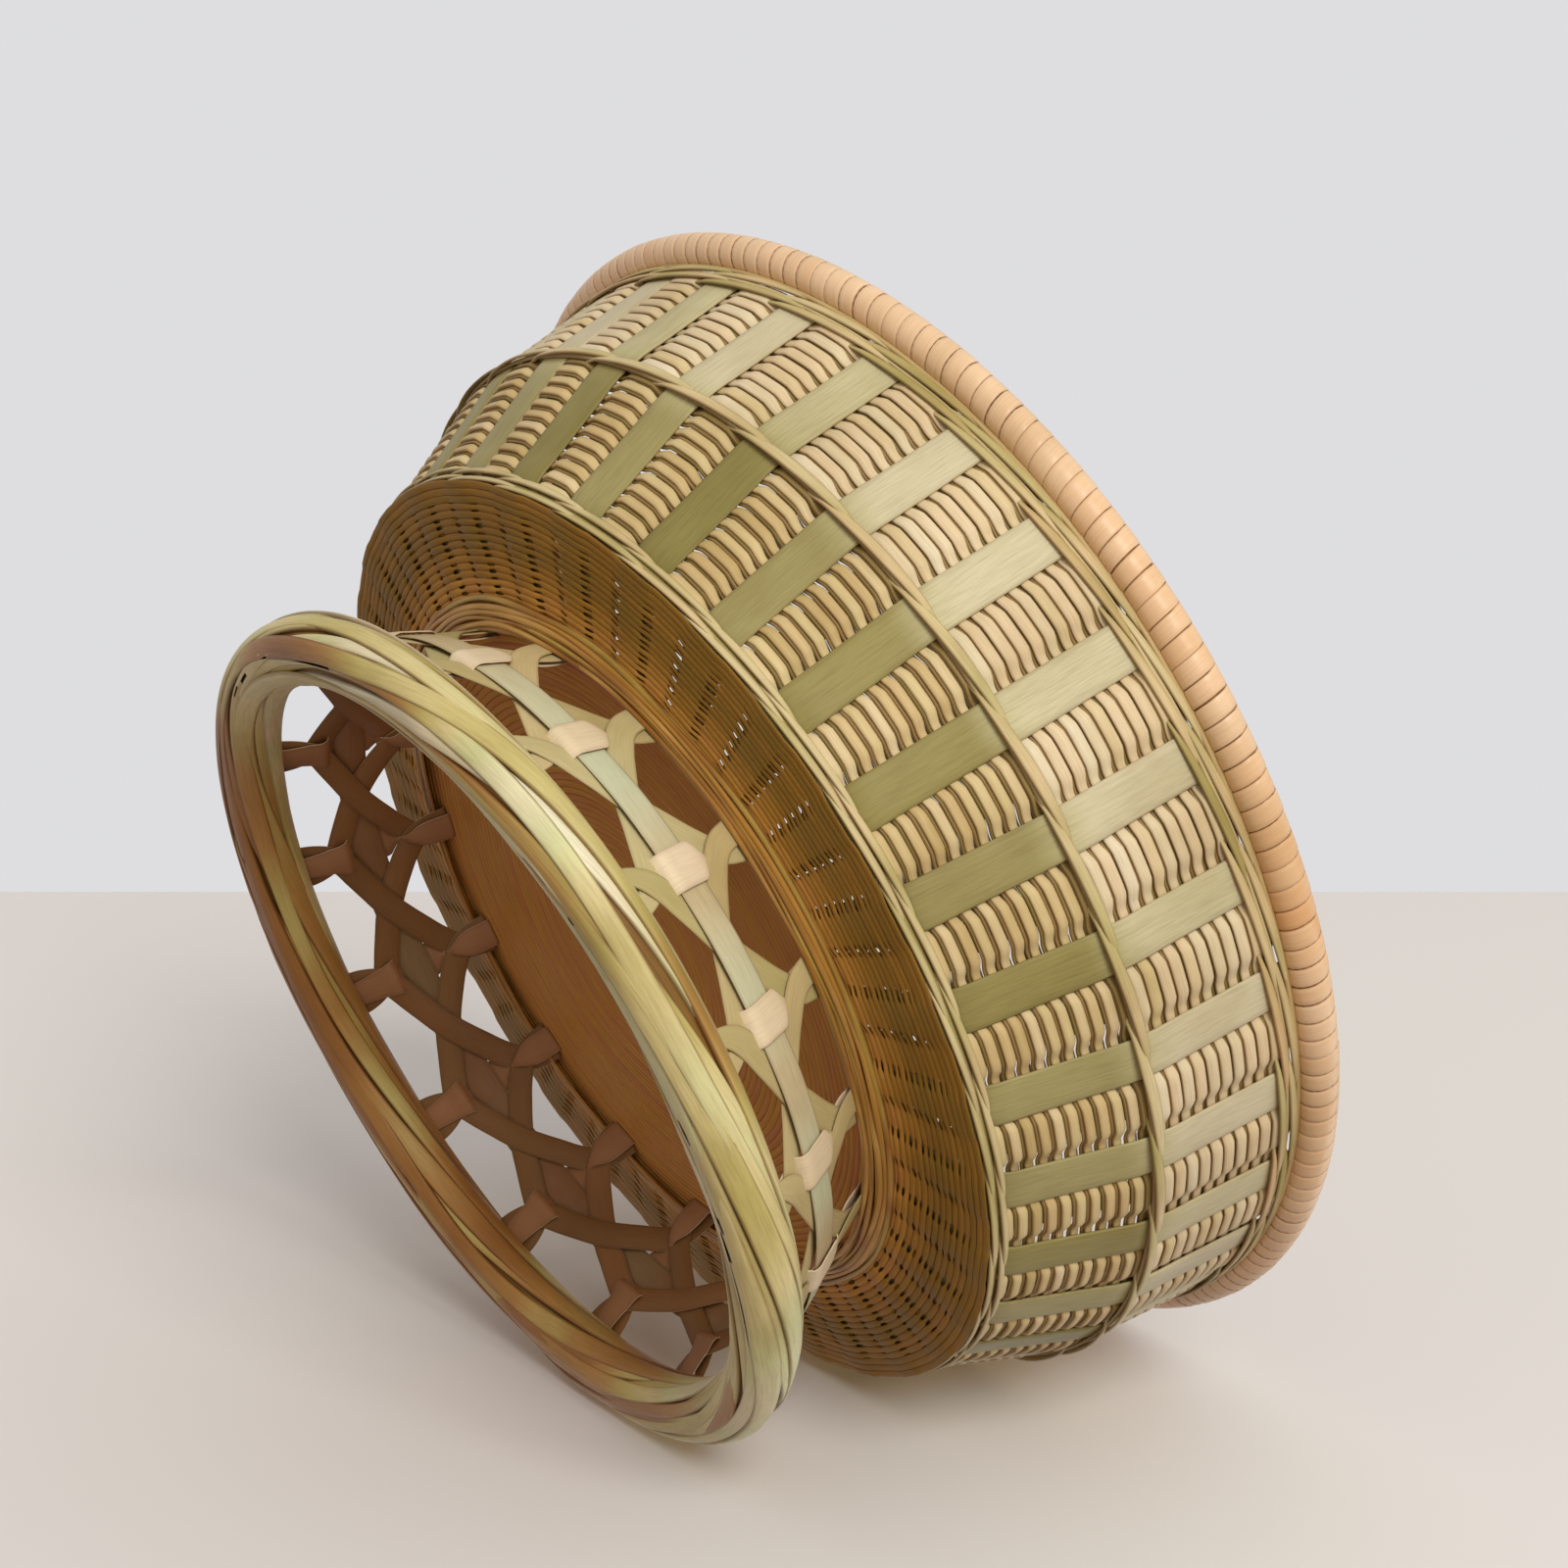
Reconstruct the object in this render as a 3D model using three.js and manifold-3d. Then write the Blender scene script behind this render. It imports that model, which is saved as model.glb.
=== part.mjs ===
// A round bamboo snack basket on a flared open-work foot. Millimetres, +Z up.
// The origin is the centre of the foot's resting plane. Angles turn about Z from +X.
import * as THREE from 'three';
import { mergeVertices } from 'three/addons/utils/BufferGeometryUtils.js';
import Module from 'manifold-3d';

// Counts
const stakeCount = 32;
const footNodeCount = 16;
const rimWrapRibs = 80;
const rimSides = 8;
const upperBandStrands = 3;
const middleBandStrands = 2;
const lowerBandStrands = 3;
const waistBandStrands = 2;
const footRingTwists = 3;
const footRingSteps = 48;
const footRingSides = 10;

// Clearance between pieces that touch in the real basket
const clearance = 0.3;

// Wall of the bowl, given by the middle of the outer stakes
const cornerRadius = 99.6;
const cornerHeight = 45.7;
const middleRadius = 113.3;
const middleHeight = 73.3;
const rimRadius = 120.3;
const rimInset = 2.1;
const topRadius = rimRadius - rimInset;
const rimHeight = 108.3;
const rimThickness = 7.8;
const rimRibDepth = 0.35;

// Stakes and weave
const stakeWidth = 8.7;
const stakeThickness = 0.8;
const innerStakeWidth = 6.2;
const weaveThickness = 1.6;
const weaveSwell = 1.3;
const swellWidth = 7.2;
const weaveBottomRise = 3;
const starHubRadius = 30;
const starHubFill = 0.8;
const starHubOverlap = 4;
const starTaperRadius = 62;

// Turn of the stakes from the base up the wall: where it starts inside the corner, how far the
// bend lies in from the corner and above it, and where the turn ends above it
const outerTurn = { start: 4.8, inset: 1.1, rise: 0.3, end: 2.2 };
const innerTurn = { start: 4.8, inset: 2.1, rise: 1.6, end: 4.4 };

// Bands twined round the outside
const bandThickness = 1.8;
const strandRelief = 0.45;
const upperBandWidth = 4.8;
const middleBandWidth = 3.2;
const lowerBandWidth = 4.9;
const waistBandWidth = 4.4;
const waistBandThickness = 2;

// Base, a shallow dish whose weave stands out under each outer stake
const baseEdgeHeight = 44;
const baseThickness = 1.6;
const baseSwell = 0.4;
const baseSwellStart = 79;
const baseSwellEnd = 96;

// Foot
const waistRadius = 70.3;
const waistHeight = 42;
const footRingRadius = 84;
const footRingThickness = 13.4;
const footRestDepth = 0.5;
const flareSag = 0.6;
const flareInset = 1.4;
const hoopHeight = 25.4;
const hoopWidth = 6.4;
const splintThickness = 0.5;
const braceWidth = 5.2;
const braceRise = 10.7;
const braceDrop = 6.8;
const stemSpread = 1.7;
const uprightWidth = 8;
const uprightOverhang = 0.6;
const uprightSideRoom = 0.75;
const tongueWidth = 3.4;
const neckShare = 0.7;
const halfwayShare = 0.4;

// Layers of the foot's open work, counted out from its middle surface. An upright lies over the
// hoop, which lies over both braces, and its tongue goes up under them.
const overLevel = 1.5;
const frontLevel = 0.5;
const backLevel = -0.5;
const deepLevel = -1.5;
const tongueLevel = -1.8;

const bambooRoughness = 0.6;
const mergeDistance = 1e-4;

// Derived places
const turn = 2 * Math.PI;
const stakePitch = turn / stakeCount;
const nodePitch = turn / footNodeCount;
const nodePhase = -stakePitch / 2;
const rimBottom = rimHeight - rimThickness / 2;
const wallTop = rimBottom - clearance;
const lowerSlope = (middleRadius - cornerRadius) / (middleHeight - cornerHeight);
const upperSlope = (topRadius - middleRadius) / (rimBottom - middleHeight);
const steepestSlope = Math.max(lowerSlope, upperSlope);
const stakeFace = (stakeThickness / 2) * Math.hypot(1, steepestSlope);
const bandOffset = stakeFace + clearance;
const ringCentreHeight = footRingThickness / 2 - footRestDepth;
const ringTop = ringCentreHeight + footRingThickness / 2;
const footTop = waistHeight - clearance;
const footBottom = ringTop + clearance;

// Places where the foot's braces cross, and how steeply they run between them
const upperCross = hoopHeight + braceRise;
const lowerCross = hoopHeight - braceDrop;
const upperBrace = bracing(braceRise);
const lowerBrace = bracing(braceDrop);
const stemWidth = braceWidth * Math.hypot(1, stemSpread / (footTop - upperCross));

// The widest stretch of a brace is flat, so that its edges stand out from the round layer
const flatBow = lowerBrace.across ** 2 / (8 * footRadius(hoopHeight));
const layer = splintThickness + clearance + flatBow;

// The waist band goes closely round the braces, and the base is flat as far out as the band
const waistBandBottom = footTop - waistBandThickness;
const braceFace = footRadius(waistBandBottom) + layer / 2 + splintThickness / 2;
const waistBandInner = Math.hypot(braceFace, stemWidth / 2) / Math.cos(stakePitch / 4) + clearance;
const baseFlatRadius = waistBandInner + waistBandWidth;

const colours = {
  rim: 0xecb982,
  stake: 0xb9b578,
  weave: 0xd6b184,
  band: 0xa39a5f,
  ochre: 0xb07c35,
  base: 0x8a6136,
  cream: 0xe3d3a8,
  hoop: 0xc9c795,
  ring: 0xc2bb76,
};

const group = new THREE.Group();
const wasm = await Module();
wasm.setup();

function addPiece(name, geometry, colour) {
  const look = { color: colour, roughness: bambooRoughness, metalness: 0 };
  const mesh = new THREE.Mesh(geometry, new THREE.MeshStandardMaterial(look));
  mesh.name = name;
  group.add(mesh);
}

function numbered(stem, index) {
  return `${stem}_${String(index + 1).padStart(2, '0')}`;
}

// Radius of the middle of the outer stakes at a height
function wallRadius(z) {
  if (z < middleHeight) return cornerRadius + (z - cornerHeight) * lowerSlope;
  return middleRadius + (z - middleHeight) * upperSlope;
}

// Height of the base's underside at a radius
function baseHeight(radius) {
  const edgeRadius = wallRadius(baseEdgeHeight);
  const rise = (baseEdgeHeight - waistHeight) / (edgeRadius - baseFlatRadius);
  return waistHeight + Math.max(0, radius - baseFlatRadius) * rise;
}

// Radius of the middle layer of the foot's open work at a height
function footRadius(z) {
  const share = (waistHeight - z) / (waistHeight - ringTop);
  const straight = waistRadius + (footRingRadius - flareInset - waistRadius) * share;
  return straight - flareSag * 4 * share * (1 - share);
}

function polar(radius, angle, z) {
  return new THREE.Vector3(radius * Math.cos(angle), radius * Math.sin(angle), z);
}

function meshFrom(positions, indices) {
  const geometry = new THREE.BufferGeometry();
  geometry.setAttribute('position', new THREE.Float32BufferAttribute(positions, 3));
  geometry.setIndex(indices);
  return geometry;
}

// A solid swept through rings of points. Closed loops join their last ring to the first.
function sweep(rings, closed) {
  const sides = rings[0].length;
  const positions = rings.flat().flatMap((point) => [point.x, point.y, point.z]);
  const indices = [];
  const spans = closed ? rings.length : rings.length - 1;
  for (let i = 0; i < spans; i += 1) {
    const near = i * sides;
    const far = ((i + 1) % rings.length) * sides;
    for (let j = 0; j < sides; j += 1) {
      const next = (j + 1) % sides;
      indices.push(near + j, far + next, near + next);
      indices.push(near + j, far + j, far + next);
    }
  }
  if (!closed) {
    const last = (rings.length - 1) * sides;
    for (let j = 1; j < sides - 1; j += 1) {
      indices.push(0, j, j + 1);
      indices.push(last, last + j + 1, last + j);
    }
  }
  return meshFrom(positions, indices);
}

// A solid of revolution. The profile is a closed loop of [radius, z], outside first going up,
// and shift moves a point's radius by its angle.
function revolve(profile, angles, shift = () => 0) {
  const rings = angles.map((angle) =>
    profile.map(([radius, z], index) => polar(radius + shift(angle, index), angle, z)));
  return sweep(rings, true);
}

function evenAngles(count, phase = 0) {
  return Array.from({ length: count }, (_, i) => phase + (i * turn) / count);
}

// A solid of flat-ended rings, given as [radius, z, swell] from the bottom up. A ring with a swell
// hangs down by it at the chosen angles.
function stack(levels, angles, hangs = () => false) {
  const backwards = angles.toReversed();
  const height = (z, swell, angle) => z - (hangs(angle) ? swell : 0);
  return sweep(levels.map(([radius, z, swell = 0]) =>
    backwards.map((angle) => polar(radius, angle, height(z, swell, angle)))), false);
}

// A flat strip along a rising path of { radius, z, angle, width } stations, facing away from the
// axis. A sheared strip has level ends and keeps its width level too.
function strip(stations, thickness, sheared = false) {
  const centres = stations.map((s) => polar(s.radius, s.angle, s.z));
  const rings = stations.map((s, i) => {
    const before = centres[Math.max(0, i - 1)];
    const after = centres[Math.min(centres.length - 1, i + 1)];
    const along = after.clone().sub(before).normalize();
    const round = new THREE.Vector3(-Math.sin(s.angle), Math.cos(s.angle), 0);
    const facing = new THREE.Vector3().crossVectors(round, along).normalize();
    const across = new THREE.Vector3().crossVectors(along, facing).normalize();
    if (sheared) {
      facing.set(Math.cos(s.angle), Math.sin(s.angle), 0);
      across.copy(round);
    }
    const half = s.width / 2;
    const corner = (a, b) => centres[i].clone()
      .addScaledVector(across, a * half)
      .addScaledVector(facing, (b * thickness) / 2);
    return [corner(-1, -1), corner(1, -1), corner(1, 1), corner(-1, 1)];
  });
  return sweep(rings, false);
}

function toSolid(geometry) {
  const bare = geometry.clone();
  bare.deleteAttribute('normal');
  bare.deleteAttribute('uv');
  const merged = mergeVertices(bare, mergeDistance);
  return new wasm.Manifold(new wasm.Mesh({
    numProp: 3,
    vertProperties: new Float32Array(merged.attributes.position.array),
    triVerts: new Uint32Array(merged.index.array),
  }));
}

function fromSolid(solid) {
  const mesh = solid.getMesh();
  return meshFrom(Array.from(mesh.vertProperties), Array.from(mesh.triVerts));
}

// Rim: a core closely wrapped with cane, shown as ribs. One of its flat sides faces down.
function rimBinding() {
  const rings = evenAngles(rimWrapRibs * 2).map((angle, i) => {
    const size = (rimThickness / 2 - (i % 2) * rimRibDepth) / Math.cos(Math.PI / rimSides);
    return Array.from({ length: rimSides }, (_, j) => {
      const side = ((j + 0.5) * turn) / rimSides;
      return polar(rimRadius + size * Math.cos(side), angle, rimHeight + size * Math.sin(side));
    });
  });
  return sweep(rings, true);
}

// A band of strands lying on the outside of the stakes, from a height upwards
function bandOnWall(bottom, width, strands) {
  const inner = bandOffset;
  const outer = inner + bandThickness;
  const profile = [];
  for (let i = 0; i <= strands * 2; i += 1) {
    const z = bottom + (width * i) / (strands * 2);
    profile.push([wallRadius(z) + outer - (i % 2 === 0 ? strandRelief : 0), z]);
  }
  const bend = [middleHeight].filter((z) => z > bottom && z < bottom + width);
  for (const z of [bottom + width, ...bend, bottom]) profile.push([wallRadius(z) + inner, z]);
  return revolve(profile, evenAngles(stakeCount * 2, stakePitch / 4));
}

// The waist band lies under the base, round the top of the foot
function waistBand() {
  const profile = [[baseFlatRadius, footTop], [waistBandInner, footTop]];
  for (let i = 0; i <= waistBandStrands * 2; i += 1) {
    const radius = waistBandInner + (waistBandWidth * i) / (waistBandStrands * 2);
    profile.push([radius, waistBandBottom + (i % 2 === 0 ? strandRelief : 0)]);
  }
  return revolve(profile, evenAngles(stakeCount * 2, stakePitch / 4));
}

// The weave stands out over each inner stake and lies behind each outer one
function wallWeave() {
  const bottom = cornerHeight + weaveBottomRise;
  const low = -stakeFace - clearance - weaveThickness / 2;
  const heights = [bottom, middleHeight, wallTop - clearance];
  const half = weaveThickness / 2;
  const profile = [
    ...heights.map((z) => [wallRadius(z) + low + half, z]),
    ...heights.toReversed().map((z) => [wallRadius(z) + low - half, z]),
  ];
  const halfStake = (stakeWidth / 2 + clearance) / middleRadius;
  const halfSwell = swellWidth / 2 / middleRadius;
  const angles = [];
  const swollen = new Set();
  for (let i = 0; i < stakeCount; i += 1) {
    const stake = i * stakePitch;
    const between = stake + stakePitch / 2;
    angles.push(stake - halfStake, stake + halfStake, between - halfSwell, between + halfSwell);
    swollen.add(between - halfSwell).add(between + halfSwell);
  }
  return revolve(profile, angles, (angle) => (swollen.has(angle) ? weaveSwell : 0));
}

// Stakes of one layer cross in a hub at the middle of the base and turn up the wall
function stakeStar(phase, width, wallOffset, baseOffset, bend) {
  const hubWidth = (turn * starHubRadius) / stakeCount * starHubFill;
  const level = (radius) => baseHeight(radius) + baseOffset;
  const turnStart = cornerRadius - bend.start;
  const turnEnd = cornerHeight + bend.end;
  const path = [
    { radius: starHubRadius - starHubOverlap, z: level(0), width: hubWidth },
    { radius: starTaperRadius, z: level(starTaperRadius), width },
    { radius: turnStart, z: level(turnStart), width },
    { radius: cornerRadius - bend.inset, z: cornerHeight + bend.rise, width },
    { radius: wallRadius(turnEnd) + wallOffset, z: turnEnd, width },
    { radius: wallRadius(middleHeight) + wallOffset, z: middleHeight, width },
    { radius: wallRadius(wallTop - clearance) + wallOffset, z: wallTop - clearance, width },
  ];
  const half = stakeThickness / 2;
  const hubLevels = [-half, half].map((offset) => [starHubRadius, level(0) + offset]);
  const hub = stack(hubLevels, evenAngles(stakeCount * 2));
  let solid = toSolid(hub);
  for (let i = 0; i < stakeCount; i += 1) {
    const angle = phase + i * stakePitch;
    solid = solid.add(toSolid(strip(path.map((s) => ({ ...s, angle })), stakeThickness)));
  }
  return fromSolid(solid);
}

function outerStakes() {
  const baseOffset = baseThickness + clearance + stakeThickness / 2;
  return stakeStar(0, stakeWidth, 0, baseOffset, outerTurn);
}

function innerStakes() {
  const weaveBack = weaveSwell - stakeFace - clearance - weaveThickness;
  const offset = weaveBack - clearance - stakeFace;
  const baseOffset = baseThickness + 2 * clearance + stakeThickness + stakeThickness / 2;
  return stakeStar(stakePitch / 2, innerStakeWidth, offset, baseOffset, innerTurn);
}

// The base is a dish of close weave
function baseWeave() {
  const edge = wallRadius(baseEdgeHeight) + bandOffset - clearance;
  const level = (radius, swell = 0) => [radius, baseHeight(radius), swell];
  const under = [
    level(baseFlatRadius),
    level(baseSwellStart, baseSwell),
    level(baseSwellEnd, baseSwell),
    level(edge),
  ];
  const over = [edge, baseFlatRadius].map((radius) => [radius, baseHeight(radius) + baseThickness]);
  const angles = evenAngles(stakeCount * 2);
  return stack([...under, ...over], angles, (angle) => angles.indexOf(angle) % 2 === 0);
}

// A brace's slope, level width and half height at a crossing, where it runs half a node's pitch
// round the foot in the given height
function bracing(height) {
  const slope = ((nodePitch / 2) * footRadius(hoopHeight)) / height;
  const across = braceWidth * Math.hypot(1, slope);
  return { slope, across, reach: across / 2 / slope };
}

// The upright's places above the hoop's middle
const shoulder = hoopWidth / 2 + clearance;
const neckRoom = braceRise - upperBrace.reach - shoulder;
const neck = shoulder + neckRoom * neckShare;
const halfway = shoulder + neckRoom * halfwayShare;

// Half the width that an upright can have between the braces at a height above the hoop
function roomBetweenBraces(height) {
  return (braceRise - height) * upperBrace.slope - upperBrace.across / 2;
}

// An upright ends under the hoop, over the place where the braces cross again
function upright(index) {
  const wide = Math.min(uprightWidth, 2 * (roomBetweenBraces(halfway) - uprightSideRoom));
  const heights = [
    [footTop - hoopHeight, tongueLevel, tongueWidth],
    [neck, tongueLevel, tongueWidth],
    [halfway, 0, wide],
    [shoulder, overLevel, uprightWidth],
    [0, overLevel, uprightWidth],
    [-hoopWidth / 2 - uprightOverhang, overLevel, uprightWidth],
  ];
  const angle = nodePhase + index * nodePitch;
  const stations = heights.map(([rise, level, width]) => ({
    radius: footRadius(hoopHeight + rise) + level * layer,
    z: hoopHeight + rise,
    angle,
    width,
  }));
  return strip(stations.toReversed(), splintThickness, true);
}

// A slanting brace turns right (+1) or left (-1) about the axis on its way down from the waist.
// The right one is in front where they cross under the waist, and the left one below the hoop.
// Above and below those crossings both run on almost upright.
function brace(index, lean) {
  const node = nodePhase + index * nodePitch;
  const topLevel = lean > 0 ? frontLevel : backLevel;
  const lowLevel = lean > 0 ? deepLevel : backLevel;
  const kneeWidth = (upperBrace.across + lowerBrace.across) / 2;
  const places = [
    [footTop, topLevel, stemWidth],
    [upperCross + upperBrace.reach, topLevel, stemWidth],
    [upperCross, topLevel, upperBrace.across],
    [hoopHeight + neck, topLevel, upperBrace.across],
    [hoopHeight + shoulder, lowLevel, upperBrace.across],
    [hoopHeight, lowLevel, kneeWidth],
    [hoopHeight - shoulder, lowLevel, lowerBrace.across],
    [lowerCross, lowLevel, lowerBrace.across],
    [lowerCross - lowerBrace.reach, lowLevel, stemWidth],
    [footBottom, lowLevel, stemWidth],
  ];
  const stations = places.map(([z, level, width]) => ({
    radius: footRadius(z) + level * layer,
    z,
    angle: node + lean * braceTurn(z),
    width,
  }));
  return strip(stations.toReversed(), splintThickness, true);
}

// How far a brace has turned from its upper crossing at a height
function braceTurn(z) {
  const half = nodePitch / 2;
  if (z > upperCross) {
    return (-(z - upperCross) / (footTop - upperCross)) * (stemSpread / footRadius(footTop));
  }
  if (z > hoopHeight) return ((upperCross - z) / braceRise) * half;
  if (z > lowerCross) return half + ((hoopHeight - z) / braceDrop) * half;
  const share = (lowerCross - z) / (lowerCross - footBottom);
  return nodePitch + share * (stemSpread / footRadius(footBottom));
}

// The hoop runs over the braces and under the uprights
function footHoop() {
  const half = hoopWidth / 2;
  const face = (z, offset) => [footRadius(z) + layer / 2 + offset, z];
  const thick = splintThickness / 2;
  const profile = [
    face(hoopHeight - half, thick),
    face(hoopHeight + half, thick),
    face(hoopHeight + half, -thick),
    face(hoopHeight - half, -thick),
  ];
  return revolve(profile, evenAngles(footNodeCount * 4, nodePhase + nodePitch / 8));
}

// Two strands share the foot ring's round section and turn about each other round the foot.
// Both are worn flat where the basket stands.
function footRingStrand(side) {
  const size = footRingThickness / 2;
  const rings = evenAngles(footRingSteps).map((angle) => {
    const spin = footRingTwists * angle + side * Math.PI;
    const section = [];
    const halfSides = footRingSides / 2;
    const trim = Math.asin(clearance / 2 / size);
    for (let j = 0; j <= halfSides; j += 1) {
      section.push(trim + (j / halfSides) * (Math.PI - 2 * trim));
    }
    return section.map((a) => polar(
      footRingRadius + size * Math.cos(a + spin),
      angle,
      ringCentreHeight + size * Math.sin(a + spin),
    ));
  });
  const outline = 2 * (footRingRadius + footRingThickness);
  const below = stack([[outline, -footRingThickness], [outline, 0]], evenAngles(4));
  return fromSolid(toSolid(sweep(rings, true)).subtract(toSolid(below)));
}

addPiece('rim_binding', rimBinding(), colours.rim);
const upperBandBottom = wallTop - upperBandWidth;
const middleBandBottom = middleHeight - middleBandWidth / 2;
addPiece('upper_band', bandOnWall(upperBandBottom, upperBandWidth, upperBandStrands), colours.band);
addPiece('middle_band', bandOnWall(middleBandBottom, middleBandWidth, middleBandStrands), colours.band);
addPiece('lower_band', bandOnWall(baseEdgeHeight, lowerBandWidth, lowerBandStrands), colours.band);
addPiece('waist_band', waistBand(), colours.ochre);
addPiece('outer_stakes', outerStakes(), colours.stake);
addPiece('inner_stakes', innerStakes(), colours.cream);
addPiece('wall_weave', wallWeave(), colours.weave);
addPiece('base_weave', baseWeave(), colours.base);
addPiece('foot_hoop', footHoop(), colours.hoop);
addPiece('foot_ring_strand_1', footRingStrand(0), colours.ring);
addPiece('foot_ring_strand_2', footRingStrand(1), colours.ring);
for (let i = 0; i < footNodeCount; i += 1) {
  addPiece(numbered('foot_upright', i), upright(i), colours.cream);
  addPiece(numbered('foot_brace_right', i), brace(i, 1), colours.cream);
  addPiece(numbered('foot_brace_left', i), brace(i, -1), colours.cream);
}

export default group;
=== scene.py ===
# A round bamboo snack basket on a flared open-work foot: the looks, strand by strand.
# Lengths are in millimetres and angles in radians, turning about Z from +X, until the meshes are made.
import math

import bpy
import numpy as np
from mathutils import Matrix, Vector


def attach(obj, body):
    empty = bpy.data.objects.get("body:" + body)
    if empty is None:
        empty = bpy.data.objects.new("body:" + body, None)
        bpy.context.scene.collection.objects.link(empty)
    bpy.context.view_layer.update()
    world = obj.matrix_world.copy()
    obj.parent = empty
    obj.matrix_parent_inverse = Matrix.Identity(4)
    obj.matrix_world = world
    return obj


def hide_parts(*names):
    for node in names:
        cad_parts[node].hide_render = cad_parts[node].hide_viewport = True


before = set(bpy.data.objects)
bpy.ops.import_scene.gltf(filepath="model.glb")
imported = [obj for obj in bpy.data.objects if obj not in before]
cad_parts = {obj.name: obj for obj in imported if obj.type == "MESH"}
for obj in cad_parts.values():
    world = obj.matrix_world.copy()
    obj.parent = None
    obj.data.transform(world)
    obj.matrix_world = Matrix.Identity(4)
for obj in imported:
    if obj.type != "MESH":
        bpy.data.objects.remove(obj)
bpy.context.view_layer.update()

MILLI = 0.001
TURN = 2 * math.pi
SEED = 7
NEAR_ZERO = 1e-9

# Counts
STAKES = 32
NODES = 16
RIM_WRAPS = 190

# Wall of the bowl, given by the middle of the outer stakes
CORNER_RADIUS = 99.6
CORNER_HEIGHT = 45.7
MIDDLE_RADIUS = 113.3
MIDDLE_HEIGHT = 73.3
TOP_RADIUS = 118.2
RIM_RADIUS = 120.3
RIM_HEIGHT = 108.3
RIM_THICKNESS = 7.8
RIM_BOTTOM = RIM_HEIGHT - RIM_THICKNESS / 2

# Base
BASE_EDGE_HEIGHT = 44
BASE_FLAT_RADIUS = 76.9
BASE_LEVEL = 1.3
BASE_STRAND_PITCH = 1.5
BASE_FIRST_RADIUS = 7
BASE_LAST_RADIUS = 100.6

# Foot
WAIST_RADIUS = 70.3
WAIST_HEIGHT = 42
FOOT_RING_RADIUS = 84
FOOT_RING_THICKNESS = 13.4
FOOT_RING_HEIGHT = 6.2
RING_TOP = FOOT_RING_HEIGHT + FOOT_RING_THICKNESS / 2
FLARE_SAG = 0.6
FLARE_INSET = 1.4
SPLINT_THICKNESS = 0.34
# Distance from one layer of the open work to the next
LAYER = 0.62

STAKE_PITCH = TURN / STAKES
NODE_PITCH = TURN / NODES
NODE_PHASE = -STAKE_PITCH / 2
INNER_STAKE_TURN = -0.006


def mirrored(right, top=()):
    """A section from its right side, from the bottom up, and any point at the middle of its top."""
    left = [(-across, out) for across, out in reversed(right)]
    return left[-1:] + right + list(top) + left[:-1]


def regular(count, first=0.0):
    """A section with this many corners on a circle."""
    return [(math.cos(a), math.sin(a)) for a in np.arange(count) * TURN / count + first]


# Ways that a strand's face may look, as (outward, up)
OUTWARD = (1, 0)
UPWARD = (0, 1)

# Sections of a strand as (across, out), each from -1 to 1 over half its width and half its thickness
FLAT = mirrored([(0.97, -1), (1, -0.5), (0.99, 0.35), (0.9, 0.78), (0.45, 1)])
CROWNED = mirrored([(0.9, -1), (1, -0.3), (0.9, 0.4), (0.5, 0.9)], top=[(0, 1)])
PILLOW = mirrored([(0.85, -1), (1, -0.2), (0.94, 0.4), (0.74, 0.8), (0.36, 1)])
WRAP = mirrored([(1, -1), (1, 0.5), (0.93, 0.82), (0.5, 1)])
LEAF = [(-1, 0), (-0.72, -1), (0.72, -1), (1, 0), (0.72, 1), (-0.72, 1)]
ROUND = regular(8, TURN / 16)
OVAL = regular(6)


def wall_radius(z):
    """Radius of the middle of the outer stakes at a height."""
    lower = (MIDDLE_RADIUS - CORNER_RADIUS) / (MIDDLE_HEIGHT - CORNER_HEIGHT)
    upper = (TOP_RADIUS - MIDDLE_RADIUS) / (RIM_BOTTOM - MIDDLE_HEIGHT)
    z = np.asarray(z, dtype=float)
    below = CORNER_RADIUS + (z - CORNER_HEIGHT) * lower
    above = MIDDLE_RADIUS + (z - MIDDLE_HEIGHT) * upper
    return np.where(z < MIDDLE_HEIGHT, below, above)


def base_height(radius):
    """Height of the base's underside at a radius."""
    edge = wall_radius(BASE_EDGE_HEIGHT)
    rise = (BASE_EDGE_HEIGHT - WAIST_HEIGHT) / (edge - BASE_FLAT_RADIUS)
    return WAIST_HEIGHT + np.maximum(0, np.asarray(radius, dtype=float) - BASE_FLAT_RADIUS) * rise


def foot_radius(z):
    """Radius of the middle layer of the foot's open work at a height."""
    share = (WAIST_HEIGHT - np.asarray(z, dtype=float)) / (WAIST_HEIGHT - RING_TOP)
    straight = WAIST_RADIUS + (FOOT_RING_RADIUS - FLARE_INSET - WAIST_RADIUS) * share
    return straight - FLARE_SAG * 4 * share * (1 - share)


def smooth(x, low, high):
    """Eases from 0 at low to 1 at high."""
    t = np.clip((np.asarray(x, dtype=float) - low) / (high - low), 0, 1)
    return t * t * (3 - 2 * t)


# Sine waves that are added up to one wavering
WAVES = 4


def waves(rng, angles, amplitude, slowest=2, fastest=9):
    """A wavering with between the slowest and the fastest number of waves all round.
    The constants named WAVER hold what follows the angles."""
    total = np.zeros_like(angles)
    for _ in range(WAVES):
        total += np.sin(rng.integers(slowest, fastest + 1) * angles + rng.uniform(0, TURN))
    return total * amplitude / WAVES


def uneven(rng, share):
    """A factor that is off from 1 by up to a share."""
    return rng.uniform(1 - share, 1 + share)


def polar(radius, angle, z):
    """Points, or directions, from their radius, angle and height."""
    radius, angle, z = np.broadcast_arrays(*(np.asarray(v, dtype=float) for v in (radius, angle, z)))
    return np.stack([radius * np.cos(angle), radius * np.sin(angle), z], axis=-1)


def unit(vectors):
    """The vectors' directions."""
    return vectors / np.maximum(np.linalg.norm(vectors, axis=-1, keepdims=True), NEAR_ZERO)


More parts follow.
